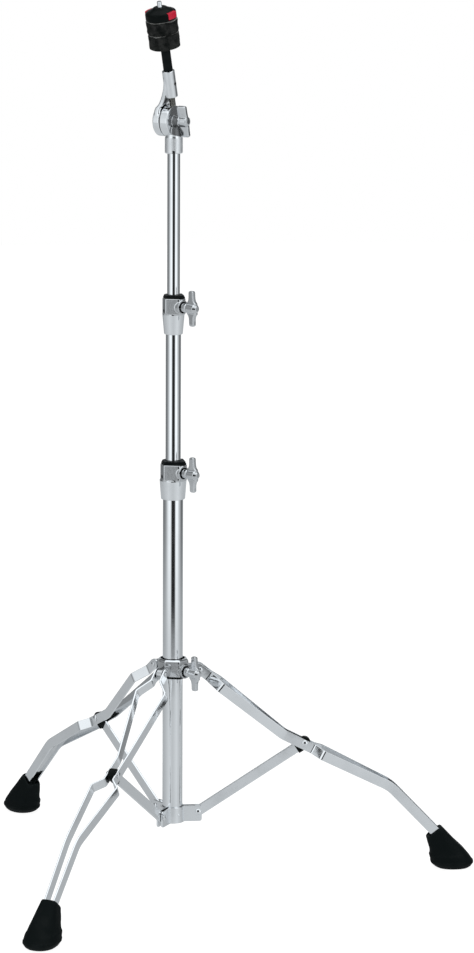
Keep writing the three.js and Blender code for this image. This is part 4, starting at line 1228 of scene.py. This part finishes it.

# %% [markdown]
# ## The sliding collar
#
# One casting carries the three ears and the bolt's boss. Its top edge is rounded off broadly,
# and where it faces up it gets a brighter chrome as a painted highlight. The nylon bushing
# inside shows as a black ring above and a lip below.

# %% A bolt's boss and hole
HOLE = {"radius": 3.7, "mouth": 7.4, "depth": 3.4, "dark_from": 11.7, "chamfer": 1}
HOLE_EDGE, RIM_EDGE = 0.1, 0.15
BOLT_BOSS = {"radius": 9.0, "rise": 3.2, "ease": 0.7}


def bolt_boss(height, azimuth, face):
    """The round boss in which a bolt's hub turns."""
    boss = drum(BOLT_BOSS["radius"], face / 2, face, 0, BOLT_BOSS["ease"], sides=SMALL_SIDES)
    return shaped(boss, facing(azimuth, height))


def bolt_cut(height, azimuth, face):
    """A bolt's clearance hole with a wider mouth."""
    step = face - HOLE["depth"]
    hole = turned([
        (0, 0), (HOLE["radius"], 0), (HOLE["radius"], step - HOLE["chamfer"]),
        (HOLE["mouth"], step), (HOLE["mouth"], face + PAST_CUT), (0, face + PAST_CUT),
    ], sides=SMALL_SIDES)
    return shaped(hole, facing(azimuth, height))


def in_mouth(face):
    """Picks the faces of a bolt's hole and of its wider mouth, which get painted shade."""
    def picked(point, normal):
        inside = math.hypot(point.y, point.z) < HOLE["mouth"] + HOLE_EDGE
        return inside and HOLE["dark_from"] < point.x < face - RIM_EDGE
    return picked


# %% Collar
COLLAR = {
    "bottom": 257.3, "top": 279.0, "radius": 18.4, "ear_half": 3.9, "ear_height": 7.0,
    "ear_root": 3, "ear_ease": 0.5, "ear_steps": 20, "foot_ease": 1.0, "top_ease": 2.6,
    "bushing_inner": 13.6, "bushing_outer": 15.0, "bushing_top": 277.6, "bushing_ease": 0.4,
    "lip": 2.0, "lip_ease": 0.6, "lap": 6.0, "rim_highlight": 2.5, "rim_highlight_tilt": 0.15,
}
collar_bolt_at = (COLLAR_PIVOT[1], BOLT_AZIMUTH, COLLAR_FACE)


def collar_ear():
    middle, high, half = COLLAR_PIVOT[1], COLLAR["ear_height"], COLLAR["ear_half"]
    slope = math.atan2(high - STRIP_HALF_DEPTH, COLLAR_PIVOT[0] - COLLAR["radius"])
    end = math.pi / 2 + slope
    bow = arc(*COLLAR_PIVOT, STRIP_HALF_DEPTH, -end, end, COLLAR["ear_steps"])
    outline = tongue(COLLAR["radius"] - COLLAR["ear_root"], middle - high, middle + high, bow)
    return shaped(plate(outline, -half, half, COLLAR["ear_ease"]), UPRIGHT)


def on_painted_highlight_rim(point, normal):
    """Picks the rounded top edge where it faces up, which gets a painted highlight."""
    return point.z > COLLAR["top"] - COLLAR["rim_highlight"] and normal.z > COLLAR["rim_highlight_tilt"]


block_face = COLLAR_FACE - BOLT_BOSS["rise"]
body_outline = faceted(COLLAR["radius"], block_face)
block_top, block_bottom, lap = COLLAR["top"], COLLAR["bottom"], COLLAR["lap"]
collar_blocks = [
    plate(body_outline, block_bottom, block_top - lap, COLLAR["foot_ease"]),
    plate(body_outline, block_bottom + lap, block_top, COLLAR["top_ease"]),
]
to_bolt = swung(BOLT_AZIMUTH)
collar_shells = [shaped(shell, to_bolt) for shell in collar_blocks]
collar_shells.append(bolt_boss(*collar_bolt_at))
collar_shells += [shaped(collar_ear(), swung(n * LEG_PITCH)) for n in range(3)]
collar_cuts = [
    cylinder(COLLAR_BORE, block_bottom - PAST_CUT, block_top + PAST_CUT), bolt_cut(*collar_bolt_at),
]
collar = piece("collar_body_skin", fused("collar", collar_shells, collar_cuts), on_post(),
               "collar_chrome", "casting", "collar", "collar_body")
# The collar bolt's hole and mouth get painted shade.
second_finish(collar, on_post(BOLT_AZIMUTH, COLLAR_PIVOT[1]), "painted_shade_recess", in_mouth(COLLAR_FACE))
# The upward-facing rim gets the brighter tilter chrome: a painted highlight.
second_finish(collar, on_post(), "tilter_chrome", on_painted_highlight_rim)

lip_outline = faceted(COLLAR["radius"] - GAP, block_face - GAP)
lip_top = block_bottom - GAP
inner = COLLAR["bushing_inner"]
lip = plate(lip_outline, lip_top - COLLAR["lip"], lip_top, COLLAR["lip_ease"], inner)
lining = ring(inner, COLLAR["bushing_outer"], lip_top - INTO_SHELL, COLLAR["bushing_top"],
              COLLAR["bushing_ease"])
piece("collar_bushing_skin", [lining, shaped(lip, to_bolt)], on_post(), "black_nylon", "nylon",
      "collar", "collar_bushing")

# %% [markdown]
# ## Height clamps
#
# Both clamps are alike: a tapered sleeve on the outer tube, a block above it for the bolt, and a
# black bushing whose two steps show on top. A peg on the bushing pokes through the casting.

# %% Clamps
CLAMPS = [
    {
        "name": "lower", "body": "base", "tube": BASE_RADIUS, "inner": MIDDLE_RADIUS,
        "bottom": 482.6, "waist": 508.0, "top": 527.2, "flange_top": 531.5, "shoulder": 506.5,
        "bottom_radius": 15.1, "waist_radius": 16.9, "radius": 15.9, "face": LOWER_FACE,
        "bolt": LOWER_HEIGHT, "inset": 1.0, "step": 2.0, "peg": 2.2, "peg_height": 512.0,
    },
    {
        "name": "upper", "body": "middle_section", "tube": MIDDLE_RADIUS, "inner": UPPER_RADIUS,
        "bottom": 690.5, "waist": 717.0, "top": 736.1, "flange_top": 740.0, "shoulder": 714.5,
        "bottom_radius": 11.6, "waist_radius": 13.9, "radius": 13.75, "face": UPPER_FACE,
        "bolt": UPPER_HEIGHT, "inset": 0.9, "step": 1.9, "peg": 1.9, "peg_height": 720.5,
    },
]
PEG_AZIMUTH = -2.66
NOSE = 1.2
SLEEVE_EASES = (0.8, 0.6, 0.4)
WAIST_TAPER = 1.6
BLOCK_EASE, FLANGE_EASE, FLANGE_CORNER, LINING_EASE, PEG_EASE = 0.9, 0.35, 0.5, 0.3, 0.6
TUBE_FIT, SEAT_FIT, BORE_FIT = 0.12, 0.1, 0.15
PEG_FROM, PEG_PROUD = 5, 0.1
PAINTED_LIGHT_BELOW_WAIST = 1.5


def below(height):
    return lambda point, normal: point.z < height


def clamp_casting(clamp, to_peg):
    """The sleeve, the block and the boss, fused and then bored."""
    tube, bottom, waist, top = (clamp[key] for key in ("tube", "bottom", "waist", "top"))
    waist_radius, shoulder = clamp["waist_radius"], clamp["shoulder"]
    foot, edge, neck = SLEEVE_EASES
    sleeve = lathe([
        (0, bottom), (clamp["bottom_radius"], bottom, foot),
        (waist_radius, waist - INTO_SHELL, edge),
        (waist_radius - WAIST_TAPER, waist + WAIST_TAPER, neck), (0, waist + WAIST_TAPER),
    ])
    outline = faceted(clamp["radius"], clamp["face"] - NOSE, flanks=CLAMP_FLANKS)
    block = shaped(plate(outline, waist - INTO_SHELL, top, BLOCK_EASE), to_bolt)
    bolt_at = (clamp["bolt"], BOLT_AZIMUTH, clamp["face"])
    peg_hole = cylinder(clamp["peg"] + GAP, PEG_FROM, waist_radius + PAST_CUT, SMALL_SIDES)
    cuts = [
        cylinder(tube + TUBE_FIT, bottom - PAST_CUT, shoulder),
        cylinder(tube - SEAT_FIT, shoulder - INTO_SHELL, top + PAST_CUT),
        bolt_cut(*bolt_at),
        shaped(peg_hole, to_peg),
    ]
    return fused(clamp["name"], [sleeve, block, bolt_boss(*bolt_at)], cuts)


def clamp_bushing(clamp, to_peg):
    """A lining in the casting, two steps of flange above it, and the peg."""
    radius, peg, bottom = clamp["radius"], clamp["peg"], clamp["top"] + GAP
    bore, outer = clamp["inner"] + BORE_FIT, clamp["tube"] - GAP
    shells = []
    for steps_in, layer_top in ((1, bottom + clamp["step"]), (2, clamp["flange_top"])):
        inward = steps_in * clamp["inset"]
        rim = faceted(radius - inward, clamp["face"] - inward, FLANGE_CORNER, CLAMP_FLANKS)
        shells.append(shaped(plate(rim, bottom, layer_top, FLANGE_EASE, bore), to_bolt))
    lining = ring(bore, outer, clamp["shoulder"] + GAP, bottom + INTO_SHELL, LINING_EASE)
    pin = drum(peg, bore + INTO_SHELL, radius + PEG_PROUD, 0, PEG_EASE, sides=SMALL_SIDES)
    return [lining, *shells, shaped(pin, to_peg)]


for clamp in CLAMPS:
    to_peg = facing(PEG_AZIMUTH, clamp["peg_height"])
    bolt_place = on_post(BOLT_AZIMUTH, clamp["bolt"])
    name = f"{clamp['name']}_clamp_casting"
    casting = piece(f"{name}_skin", clamp_casting(clamp, to_peg), on_post(), "cast_chrome",
                    "casting", clamp["body"], name)
    # The clamp bolt's hole and mouth get painted shade.
    second_finish(casting, bolt_place, "painted_shade_recess", in_mouth(clamp["face"]))
    # The skirt below the waist gets the brighter tilter chrome: painted light.
    second_finish(casting, on_post(), "tilter_chrome", below(clamp["waist"] - PAINTED_LIGHT_BELOW_WAIST))
    name = f"{clamp['name']}_clamp_bushing"
    piece(f"{name}_skin", clamp_bushing(clamp, to_peg), on_post(), "black_nylon", "nylon",
          clamp["body"], name)

# %% [markdown]
# ## The tilter
#
# Two flat discs face each other across a dark friction disc. The base disc stands on a sleeve
# over the upper tube, the arm's disc rises into a web that closes in on the rod's sleeve. X runs
# along the tilt axis here, from the arm to the wing bolt. The wing bolt's blades keep the light
# from the boss and the neck behind them, so those get painted shade: a darker, duller finish.

# %% Tilter base
TILT_ANGLE = 0.245
TILT_RELAX = 3
DISC = 19.2
DISC_EASE, DISC_STEPS = 1.3, 4
BASE_SEAM, BASE_FACE = -8.7, 1.7
ARM_FACE, ARM_SEAM = -19.6, -10.1
BOSS = {"radius": 7.7, "root": 2, "step": 0.5, "end_radius": 6.5, "ease": 0.6}
BASE_SLEEVE = {
    "radius": 11.1, "bottom": -39.7, "top": -20.5, "neck": -7.0, "neck_radius": 7.2,
    "foot_ease": 1.4, "shoulder_ease": 2.0, "bore_top": -21.2,
}
CLEARING = {"far": -40, "half": 30, "under": 0.4}
NOTCH = {"half": 1.7, "height": 3.6, "azimuth": -1.02, "from": 5, "edge": 0.1}
BEHIND_WING = {"past_face": 0.3, "inside_disc": 0.7}
tilter_place = on_post(TILT_AZIMUTH, TILT_HEIGHT)


def disc(low, high):
    return shaped(drum(DISC, low, high, DISC_EASE, DISC_EASE, DISC_STEPS), ALONG_X)


def box_between(low, high):
    corners = [(x, y, z) for z in (low[2], high[2]) for x, y in (
        (low[0], low[1]), (high[0], low[1]), (high[0], high[1]), (low[0], high[1]))]
    faces = [[3, 2, 1, 0], [4, 5, 6, 7]]
    faces += [[i, (i + 1) % 4, 4 + (i + 1) % 4, 4 + i] for i in range(4)]
    return [Vector(corner) for corner in corners], faces


boss_root, boss_step = BASE_FACE - BOSS["root"], BASE_FACE + BOSS["step"]
boss = shaped(lathe([
    (0, boss_root), (BOSS["radius"], boss_root), (BOSS["radius"], boss_step, BOSS["step"]),
    (BOSS["end_radius"], BOSS_FACE, BOSS["ease"]), (0, BOSS_FACE),
]), ALONG_X)
sleeve_bottom = BASE_SLEEVE["bottom"]
base_sleeve = lathe([
    (0, sleeve_bottom), (BASE_SLEEVE["radius"], sleeve_bottom, BASE_SLEEVE["foot_ease"]),
    (BASE_SLEEVE["radius"], BASE_SLEEVE["top"], BASE_SLEEVE["shoulder_ease"]),
    (BASE_SLEEVE["neck_radius"], BASE_SLEEVE["neck"]), (0, BASE_SLEEVE["neck"]),
])
notch_top = sleeve_bottom + NOTCH["height"]
notch = box_between((NOTCH["from"], -NOTCH["half"], sleeve_bottom - INTO_SHELL),
                    (BASE_SLEEVE["radius"] + PAST_CUT, NOTCH["half"], notch_top))
base_cuts = [
    box_between((CLEARING["far"], -CLEARING["half"], -DISC - CLEARING["under"]),
                (BASE_SEAM, CLEARING["half"], DISC + PAST_CUT)),
    shaped(notch, swung(NOTCH["azimuth"])),
    cylinder(UPPER_RADIUS + TUBE_FIT, sleeve_bottom - PAST_CUT, BASE_SLEEVE["bore_top"]),
]
base_shells = [disc(BASE_SEAM - INTO_SHELL, BASE_FACE), boss, base_sleeve]
base = piece("tilter_base_skin", fused("tilter_base", base_shells, base_cuts, relax=TILT_RELAX),
             tilter_place, "tilter_chrome", "casting", "upper_section", "tilter_base")


def behind_wing(point, normal):
    """Picks the boss and the part of the neck that the wing bolt's blades sweep over, for painted
    shade.
    """
    outside = point.x > BASE_FACE + BEHIND_WING["past_face"]
    return outside and math.hypot(point.y, point.z) < DISC - BEHIND_WING["inside_disc"]


# The notch gets painted shade: the dark recess finish.
def in_notch(point, normal):
    turned_back = swung(-NOTCH["azimuth"]) @ point
    inside = abs(turned_back.y) < NOTCH["half"] + NOTCH["edge"] and turned_back.x > NOTCH["from"]
    return inside and point.z < notch_top + NOTCH["edge"]


second_finish(base, tilter_place, "satin_chrome", below(-DISC - INTO_SHELL))
second_finish(base, tilter_place, "painted_shade_dull", behind_wing)
second_finish(base, tilter_place, "painted_shade_recess", in_notch)

# %% [markdown]
# The arm's web starts as wide as the disc and narrows as it leans over to the rod. Its rings are
# given as shares: height and half width of the disc's radius, shift of the way to the rod, and
# depth of the disc's own. The window above the disc gets painted shade: a darker, duller finish.

# %% Tilter arm
ROD_ACROSS = 1.5
SLEEVE_RADIUS = 7.8
SLEEVE_BOTTOM, SLEEVE_TOP = 31.5, 65.4
SLEEVE_EASE = 0.8
ROD_HOLE = 4.3
SCREW = {"height": 48.7, "hole": 2.3, "radius": 2.0, "socket": 1.15, "deep": 1.1, "proud": 0.3,
         "ease": 0.3, "socket_ease": 0.1, "sides": 24}
WINDOW = {"facing": 0.55, "from_share": 1.25, "past_sleeve": 4}
FRICTION = {"bore": 3.3, "inside_disc": 0.8, "ease": 0.2}
WEB_LEVEL_SHARES = [
    (0.45, 0.0, 1.0, 0.88), (0.75, 0.0, 1.0, 0.74), (0.9, 0.02, 0.95, 0.68),
    (1.03, 0.06, 0.85, 0.62), (1.12, 0.18, 0.86, 0.59), (1.2, 0.28, 0.86, 0.56),
    (1.35, 0.39, 0.83, 0.52), (1.55, 0.5, 0.79, 0.48), (1.8, 0.61, 0.74, 0.45),
    (2.05, 0.7, 0.66, 0.435), (2.3, 0.775, 0.58, 0.42), (2.7, 0.85, 0.55, 0.4),
    (3.1, 0.91, 0.54, 0.38),
]
WEB_SQUARENESS = 5
WEB_SIDES = 64


def arm_web():
    disc_half = (ARM_SEAM - ARM_FACE) / 2
    middle = (ARM_SEAM + ARM_FACE) / 2
    outline = squared_circle(WEB_SIDES, WEB_SQUARENESS)
    sections = []
    for height, shift, depth, width in WEB_LEVEL_SHARES:
        x = middle + shift * (ROD_ACROSS - middle)
        half_depth, half_width = depth * disc_half, width * DISC
        sections.append([(x + half_depth * c, half_width * s, height * DISC) for c, s in outline])
    return lofted(sections)


# The window faces get painted shade: the darker, duller finish.
def in_window(point, normal):
    low, high = DISC * WINDOW["from_share"], SLEEVE_BOTTOM + WINDOW["past_sleeve"]
    return normal.x > WINDOW["facing"] and low < point.z < high and point.x < ROD_ACROSS


to_rod = shifted(ROD_ACROSS)
to_screw = shifted(ROD_ACROSS, 0, SCREW["height"]) @ ALONG_X
arm_sleeve = drum(SLEEVE_RADIUS, SLEEVE_BOTTOM, SLEEVE_TOP, SLEEVE_EASE, SLEEVE_EASE)
arm_cuts = [
    shaped(cylinder(ROD_HOLE, DISC / 2, SLEEVE_TOP + PAST_CUT), to_rod),
    shaped(cylinder(SCREW["hole"], 0, SLEEVE_RADIUS + PAST_CUT, SMALL_SIDES), to_screw),
]
rod_place = tilter_place @ Matrix.Rotation(TILT_ANGLE, 4, "X")
arm_shells = [disc(ARM_FACE, ARM_SEAM), arm_web(), shaped(arm_sleeve, to_rod)]
arm = piece("tilter_arm_skin", fused("tilter_arm", arm_shells, arm_cuts, relax=TILT_RELAX),
            rod_place, "tilter_chrome", "casting", "tilter_arm", "tilter_arm")
second_finish(arm, rod_place, "painted_shade_dull", in_window)

# %% Friction disc and set screw
friction = ring(FRICTION["bore"], DISC - FRICTION["inside_disc"], ARM_SEAM + GAP, BASE_SEAM - GAP,
                FRICTION["ease"])
piece("friction_disc_skin", [shaped(friction, ALONG_X)], tilter_place, "black_nylon", "nylon",
      "upper_section", "tilter_friction_disc")

screw_top = SLEEVE_RADIUS + SCREW["proud"]
socket_floor = screw_top - SCREW["deep"]
screw = lathe([
    (0, ROD_HOLE), (SCREW["radius"], ROD_HOLE), (SCREW["radius"], screw_top, SCREW["ease"]),
    (SCREW["socket"], screw_top, SCREW["socket_ease"]), (SCREW["socket"], socket_floor),
    (0, socket_floor),
], sides=SCREW["sides"])
piece("rod_set_screw_skin", [shaped(screw, to_screw)], rod_place, "black_oxide", "black_steel",
      "tilter_arm", "rod_set_screw")

# %% [markdown]
# ## The rod and what it carries
#
# The rod is a thick plated stud in the arm's window, and an M6 thread above. Its thread is real
# geometry: a lathe body whose radius follows a sawtooth that climbs one pitch for each turn.

# %% Threads
THREAD_ROWS = 7
THREAD_SIDES = 40
THREAD_CHAMFER = 0.6
STUD = {"radius": 4.0, "depth": 0.55, "pitch": 1.25, "low": 19.8, "high": 65.2}
ROD_END = {"radius": 3.0, "depth": 0.5, "pitch": 1.0, "low": 140.0, "high": 153.4}
CORE = {"radius": 2.4, "top": 147, "sides": 24}
SEAT_PROFILE = [
    (3.3, 65.7, 0.2), (5.75, 65.7, 0.5), (5.75, 94.8, 0.4), (4.5, 94.8, 0.1), (4.5, 130.8, 0.4),
    (3.3, 130.8, 0.2),
]
on_rod = rod_place @ to_rod


def threaded(radius, depth, pitch, low, high):
    """A threaded rod with chamfered ends."""
    rows = int((high - low) / pitch * THREAD_ROWS)
    sections = []
    for row in range(rows + 1):
        height = low + (high - low) * row / rows
        cap = radius - max(THREAD_CHAMFER - min(height - low, high - height), 0)
        ring = []
        for i, angle in enumerate(turns(THREAD_SIDES)):
            tooth = abs(2 * ((height / pitch - i / THREAD_SIDES) % 1.0) - 1)
            reach = min(radius - depth * tooth, cap)
            ring.append((reach * math.cos(angle), reach * math.sin(angle), height))
        sections.append(ring)
    return lofted(sections)


core = cylinder(CORE["radius"], STUD["high"] - INTO_SHELL, CORE["top"], CORE["sides"])
piece("tilter_stud", [threaded(**STUD)], on_rod, "plated_stud", "rod", "tilter_arm", "tilter_rod")
piece("rod_end", [threaded(**ROD_END), core], on_rod, "rod_plate", "rod", "tilter_arm")
piece("felt_sleeve_skin", [lathe(SEAT_PROFILE, closed=True)], on_rod, "black_nylon", "nylon",
      "tilter_arm", "felt_sleeve")

# %% [markdown]
# ## Felts
#
# Pressed felt is never quite round: the cut edge is soft, the sides bulge, and fibres stand out.
# Each felt is a lathe body with many rings, pushed in and out by smooth noise. Along its upper
# edge an uneven paler line is a painted highlight, where the top edge catches the light.

# %% Felts
FELTS = [
    ("lower_felt", 19.1, 95.1, 114.0, "tilter_arm", 3.1, 0.5),
    ("upper_felt", 19.4, 114.3, 131.2, "upper_felt", 11.7, 0.95),
]
FELT_BORE = 4.8
FELT_SIDES = 120
FELT_EASE, BORE_EASE, FELT_STEPS = 2.2, 0.4, 6
RING_SPACING = 0.8
FELT_WOBBLE, WOBBLE_SCALE, WOBBLE_SQUEEZE = 0.9, 0.09, 1.5
FELT_FUZZ, FUZZ_SCALE = 0.2, 0.7
FELT_LIFT, LIFT_SCALE = 0.12, 0.16
EDGE_HIGHLIGHT = {"uneven": 1.1, "width": 1.5, "scale": 0.12}


def felt_washer(radius, low, high, seed):
    rim = eased([(FELT_BORE, low), (radius, low), (radius, high), (FELT_BORE, high)],
                [BORE_EASE, FELT_EASE, FELT_EASE, BORE_EASE], FELT_STEPS)
    filled = []
    for i, point in enumerate(rim):
        after = rim[(i + 1) % len(rim)]
        steps = max(int((after - point).length / RING_SPACING), 1)
        filled += [point.lerp(after, step / steps) for step in range(steps)]
    points, faces = turned(filled, closed=True, sides=FELT_SIDES)
    pressed = []
    for point in points:
        out = Vector((point.x, point.y, 0))
        share = out.length / radius
        squeezed = Vector((point.x, point.y, point.z * WOBBLE_SQUEEZE))
        broad = noise.noise(squeezed * WOBBLE_SCALE + Vector((seed, 0, 0)))
        small = noise.noise(point * FUZZ_SCALE + Vector((0, seed, 0)))
        push = (broad * FELT_WOBBLE + small * FELT_FUZZ) * share ** 2
        lift = noise.noise(point * LIFT_SCALE + Vector((0, 0, seed))) * FELT_LIFT * share
        pressed.append(point + out.normalized() * (push - FELT_FUZZ) + Vector((0, 0, lift)))
    return pressed, faces


def on_highlight_edge(radius, high, seed, depth):
    """Picks an uneven thin line along the upper edge, which gets a painted highlight."""
    def picked(point, normal):
        uneven = noise.noise(point * EDGE_HIGHLIGHT["scale"] + Vector((seed, seed, 0))) * EDGE_HIGHLIGHT["uneven"]
        outside = math.hypot(point.x, point.y) > radius - EDGE_HIGHLIGHT["width"]
        return outside and point.z > high - depth - uneven
    return picked


for felt_name, radius, low, high, body, seed, highlight_depth in FELTS:
    pad = piece(f"{felt_name}_pad", [felt_washer(radius, low, high, seed)], on_rod,
                "charcoal_felt", "felt", body, felt_name)
    second_finish(pad, on_rod, "painted_highlight_felt", on_highlight_edge(radius, high, seed, highlight_depth))

# %% [markdown]
# ## The quick release mate
#
# A flat black cap with a low hub. Two red buttons sit in pockets in its rim; pinching them
# frees the thread. The pockets are cut after fusing, so that their edges are crisp.

# %% Mate and buttons
MATE_RADIUS, MATE_BOTTOM, MATE_TOP, MATE_BORE = 19.1, 131.5, 146.6, 3.35
MATE_PROFILE = [
    (0, MATE_BOTTOM), (MATE_RADIUS, MATE_BOTTOM, 1.3), (MATE_RADIUS, 140.6, 2.2),
    (10.6, 144.2, 1.6), (7.6, MATE_TOP, 1.0), (0, MATE_TOP),
]
MATE_STEPS, MATE_RELAX = 5, 2
BUTTON = {"half": 6.9, "low": 133.0, "high": 141.4, "inner": 12.4, "outer": 20.2, "azimuth": -0.13,
          "corner": 1.0, "ease": 1.1, "steps": 16}
POCKET, POCKET_FIT = 3.3, 0.35
to_buttons = swung(BUTTON["azimuth"])


def pocket(side):
    """The room in the rim for a button and for its way in."""
    ends = sorted((side * (BUTTON["inner"] - POCKET), side * (MATE_RADIUS + PAST_CUT)))
    half = BUTTON["half"] + POCKET_FIT
    low, high = BUTTON["low"] - POCKET_FIT, BUTTON["high"] + POCKET_FIT
    return shaped(box_between((ends[0], -half, low), (ends[1], half, high)), to_buttons)


def button(side):
    """A button's outer face follows the mate's rim; its edges are soft from the pinch."""
    half, angle = BUTTON["half"], math.asin(BUTTON["half"] / BUTTON["outer"])
    bow = arc(0, 0, BUTTON["outer"], -angle, angle, BUTTON["steps"])
    outline = eased(tongue(BUTTON["inner"], -half, half, bow), BUTTON["corner"])
    body = plate(outline, BUTTON["low"], BUTTON["high"], BUTTON["ease"])
    return shaped(body, to_buttons if side > 0 else to_buttons @ swung(math.pi))


mate_bore = cylinder(MATE_BORE, MATE_BOTTOM - PAST_CUT, MATE_TOP + PAST_CUT, SMALL_SIDES)
mate_shell = lathe(MATE_PROFILE, steps=MATE_STEPS)
mate = fused("mate", [mate_shell], [mate_bore, pocket(1), pocket(-1)], relax=MATE_RELAX)
piece("mate_body_skin", mate, on_rod, "black_plastic", "black_plastic", "mate", "mate_body")
for side, side_name in ((1, "right"), (-1, "left")):
    piece(f"mate_button_{side_name}_skin", [button(side)], on_rod, "red_plastic", "red_plastic",
          f"button_{side_name}", f"mate_button_{side_name}")

# %% [markdown]
# ## What stays as CAD
#
# Two glide bushes are hidden inside the tubes. Their CAD shape is right, so they only get nylon.

# %% Hidden bushes
for node_name in ("middle_glide", "upper_glide"):
    hidden = nodes[node_name]
    hidden.data.materials.clear()
    hidden.data.materials.append(finishes["black_nylon"])

# %% Sizes
low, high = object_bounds()
print("visual box", [round(v, 4) for v in (*low, *high)])
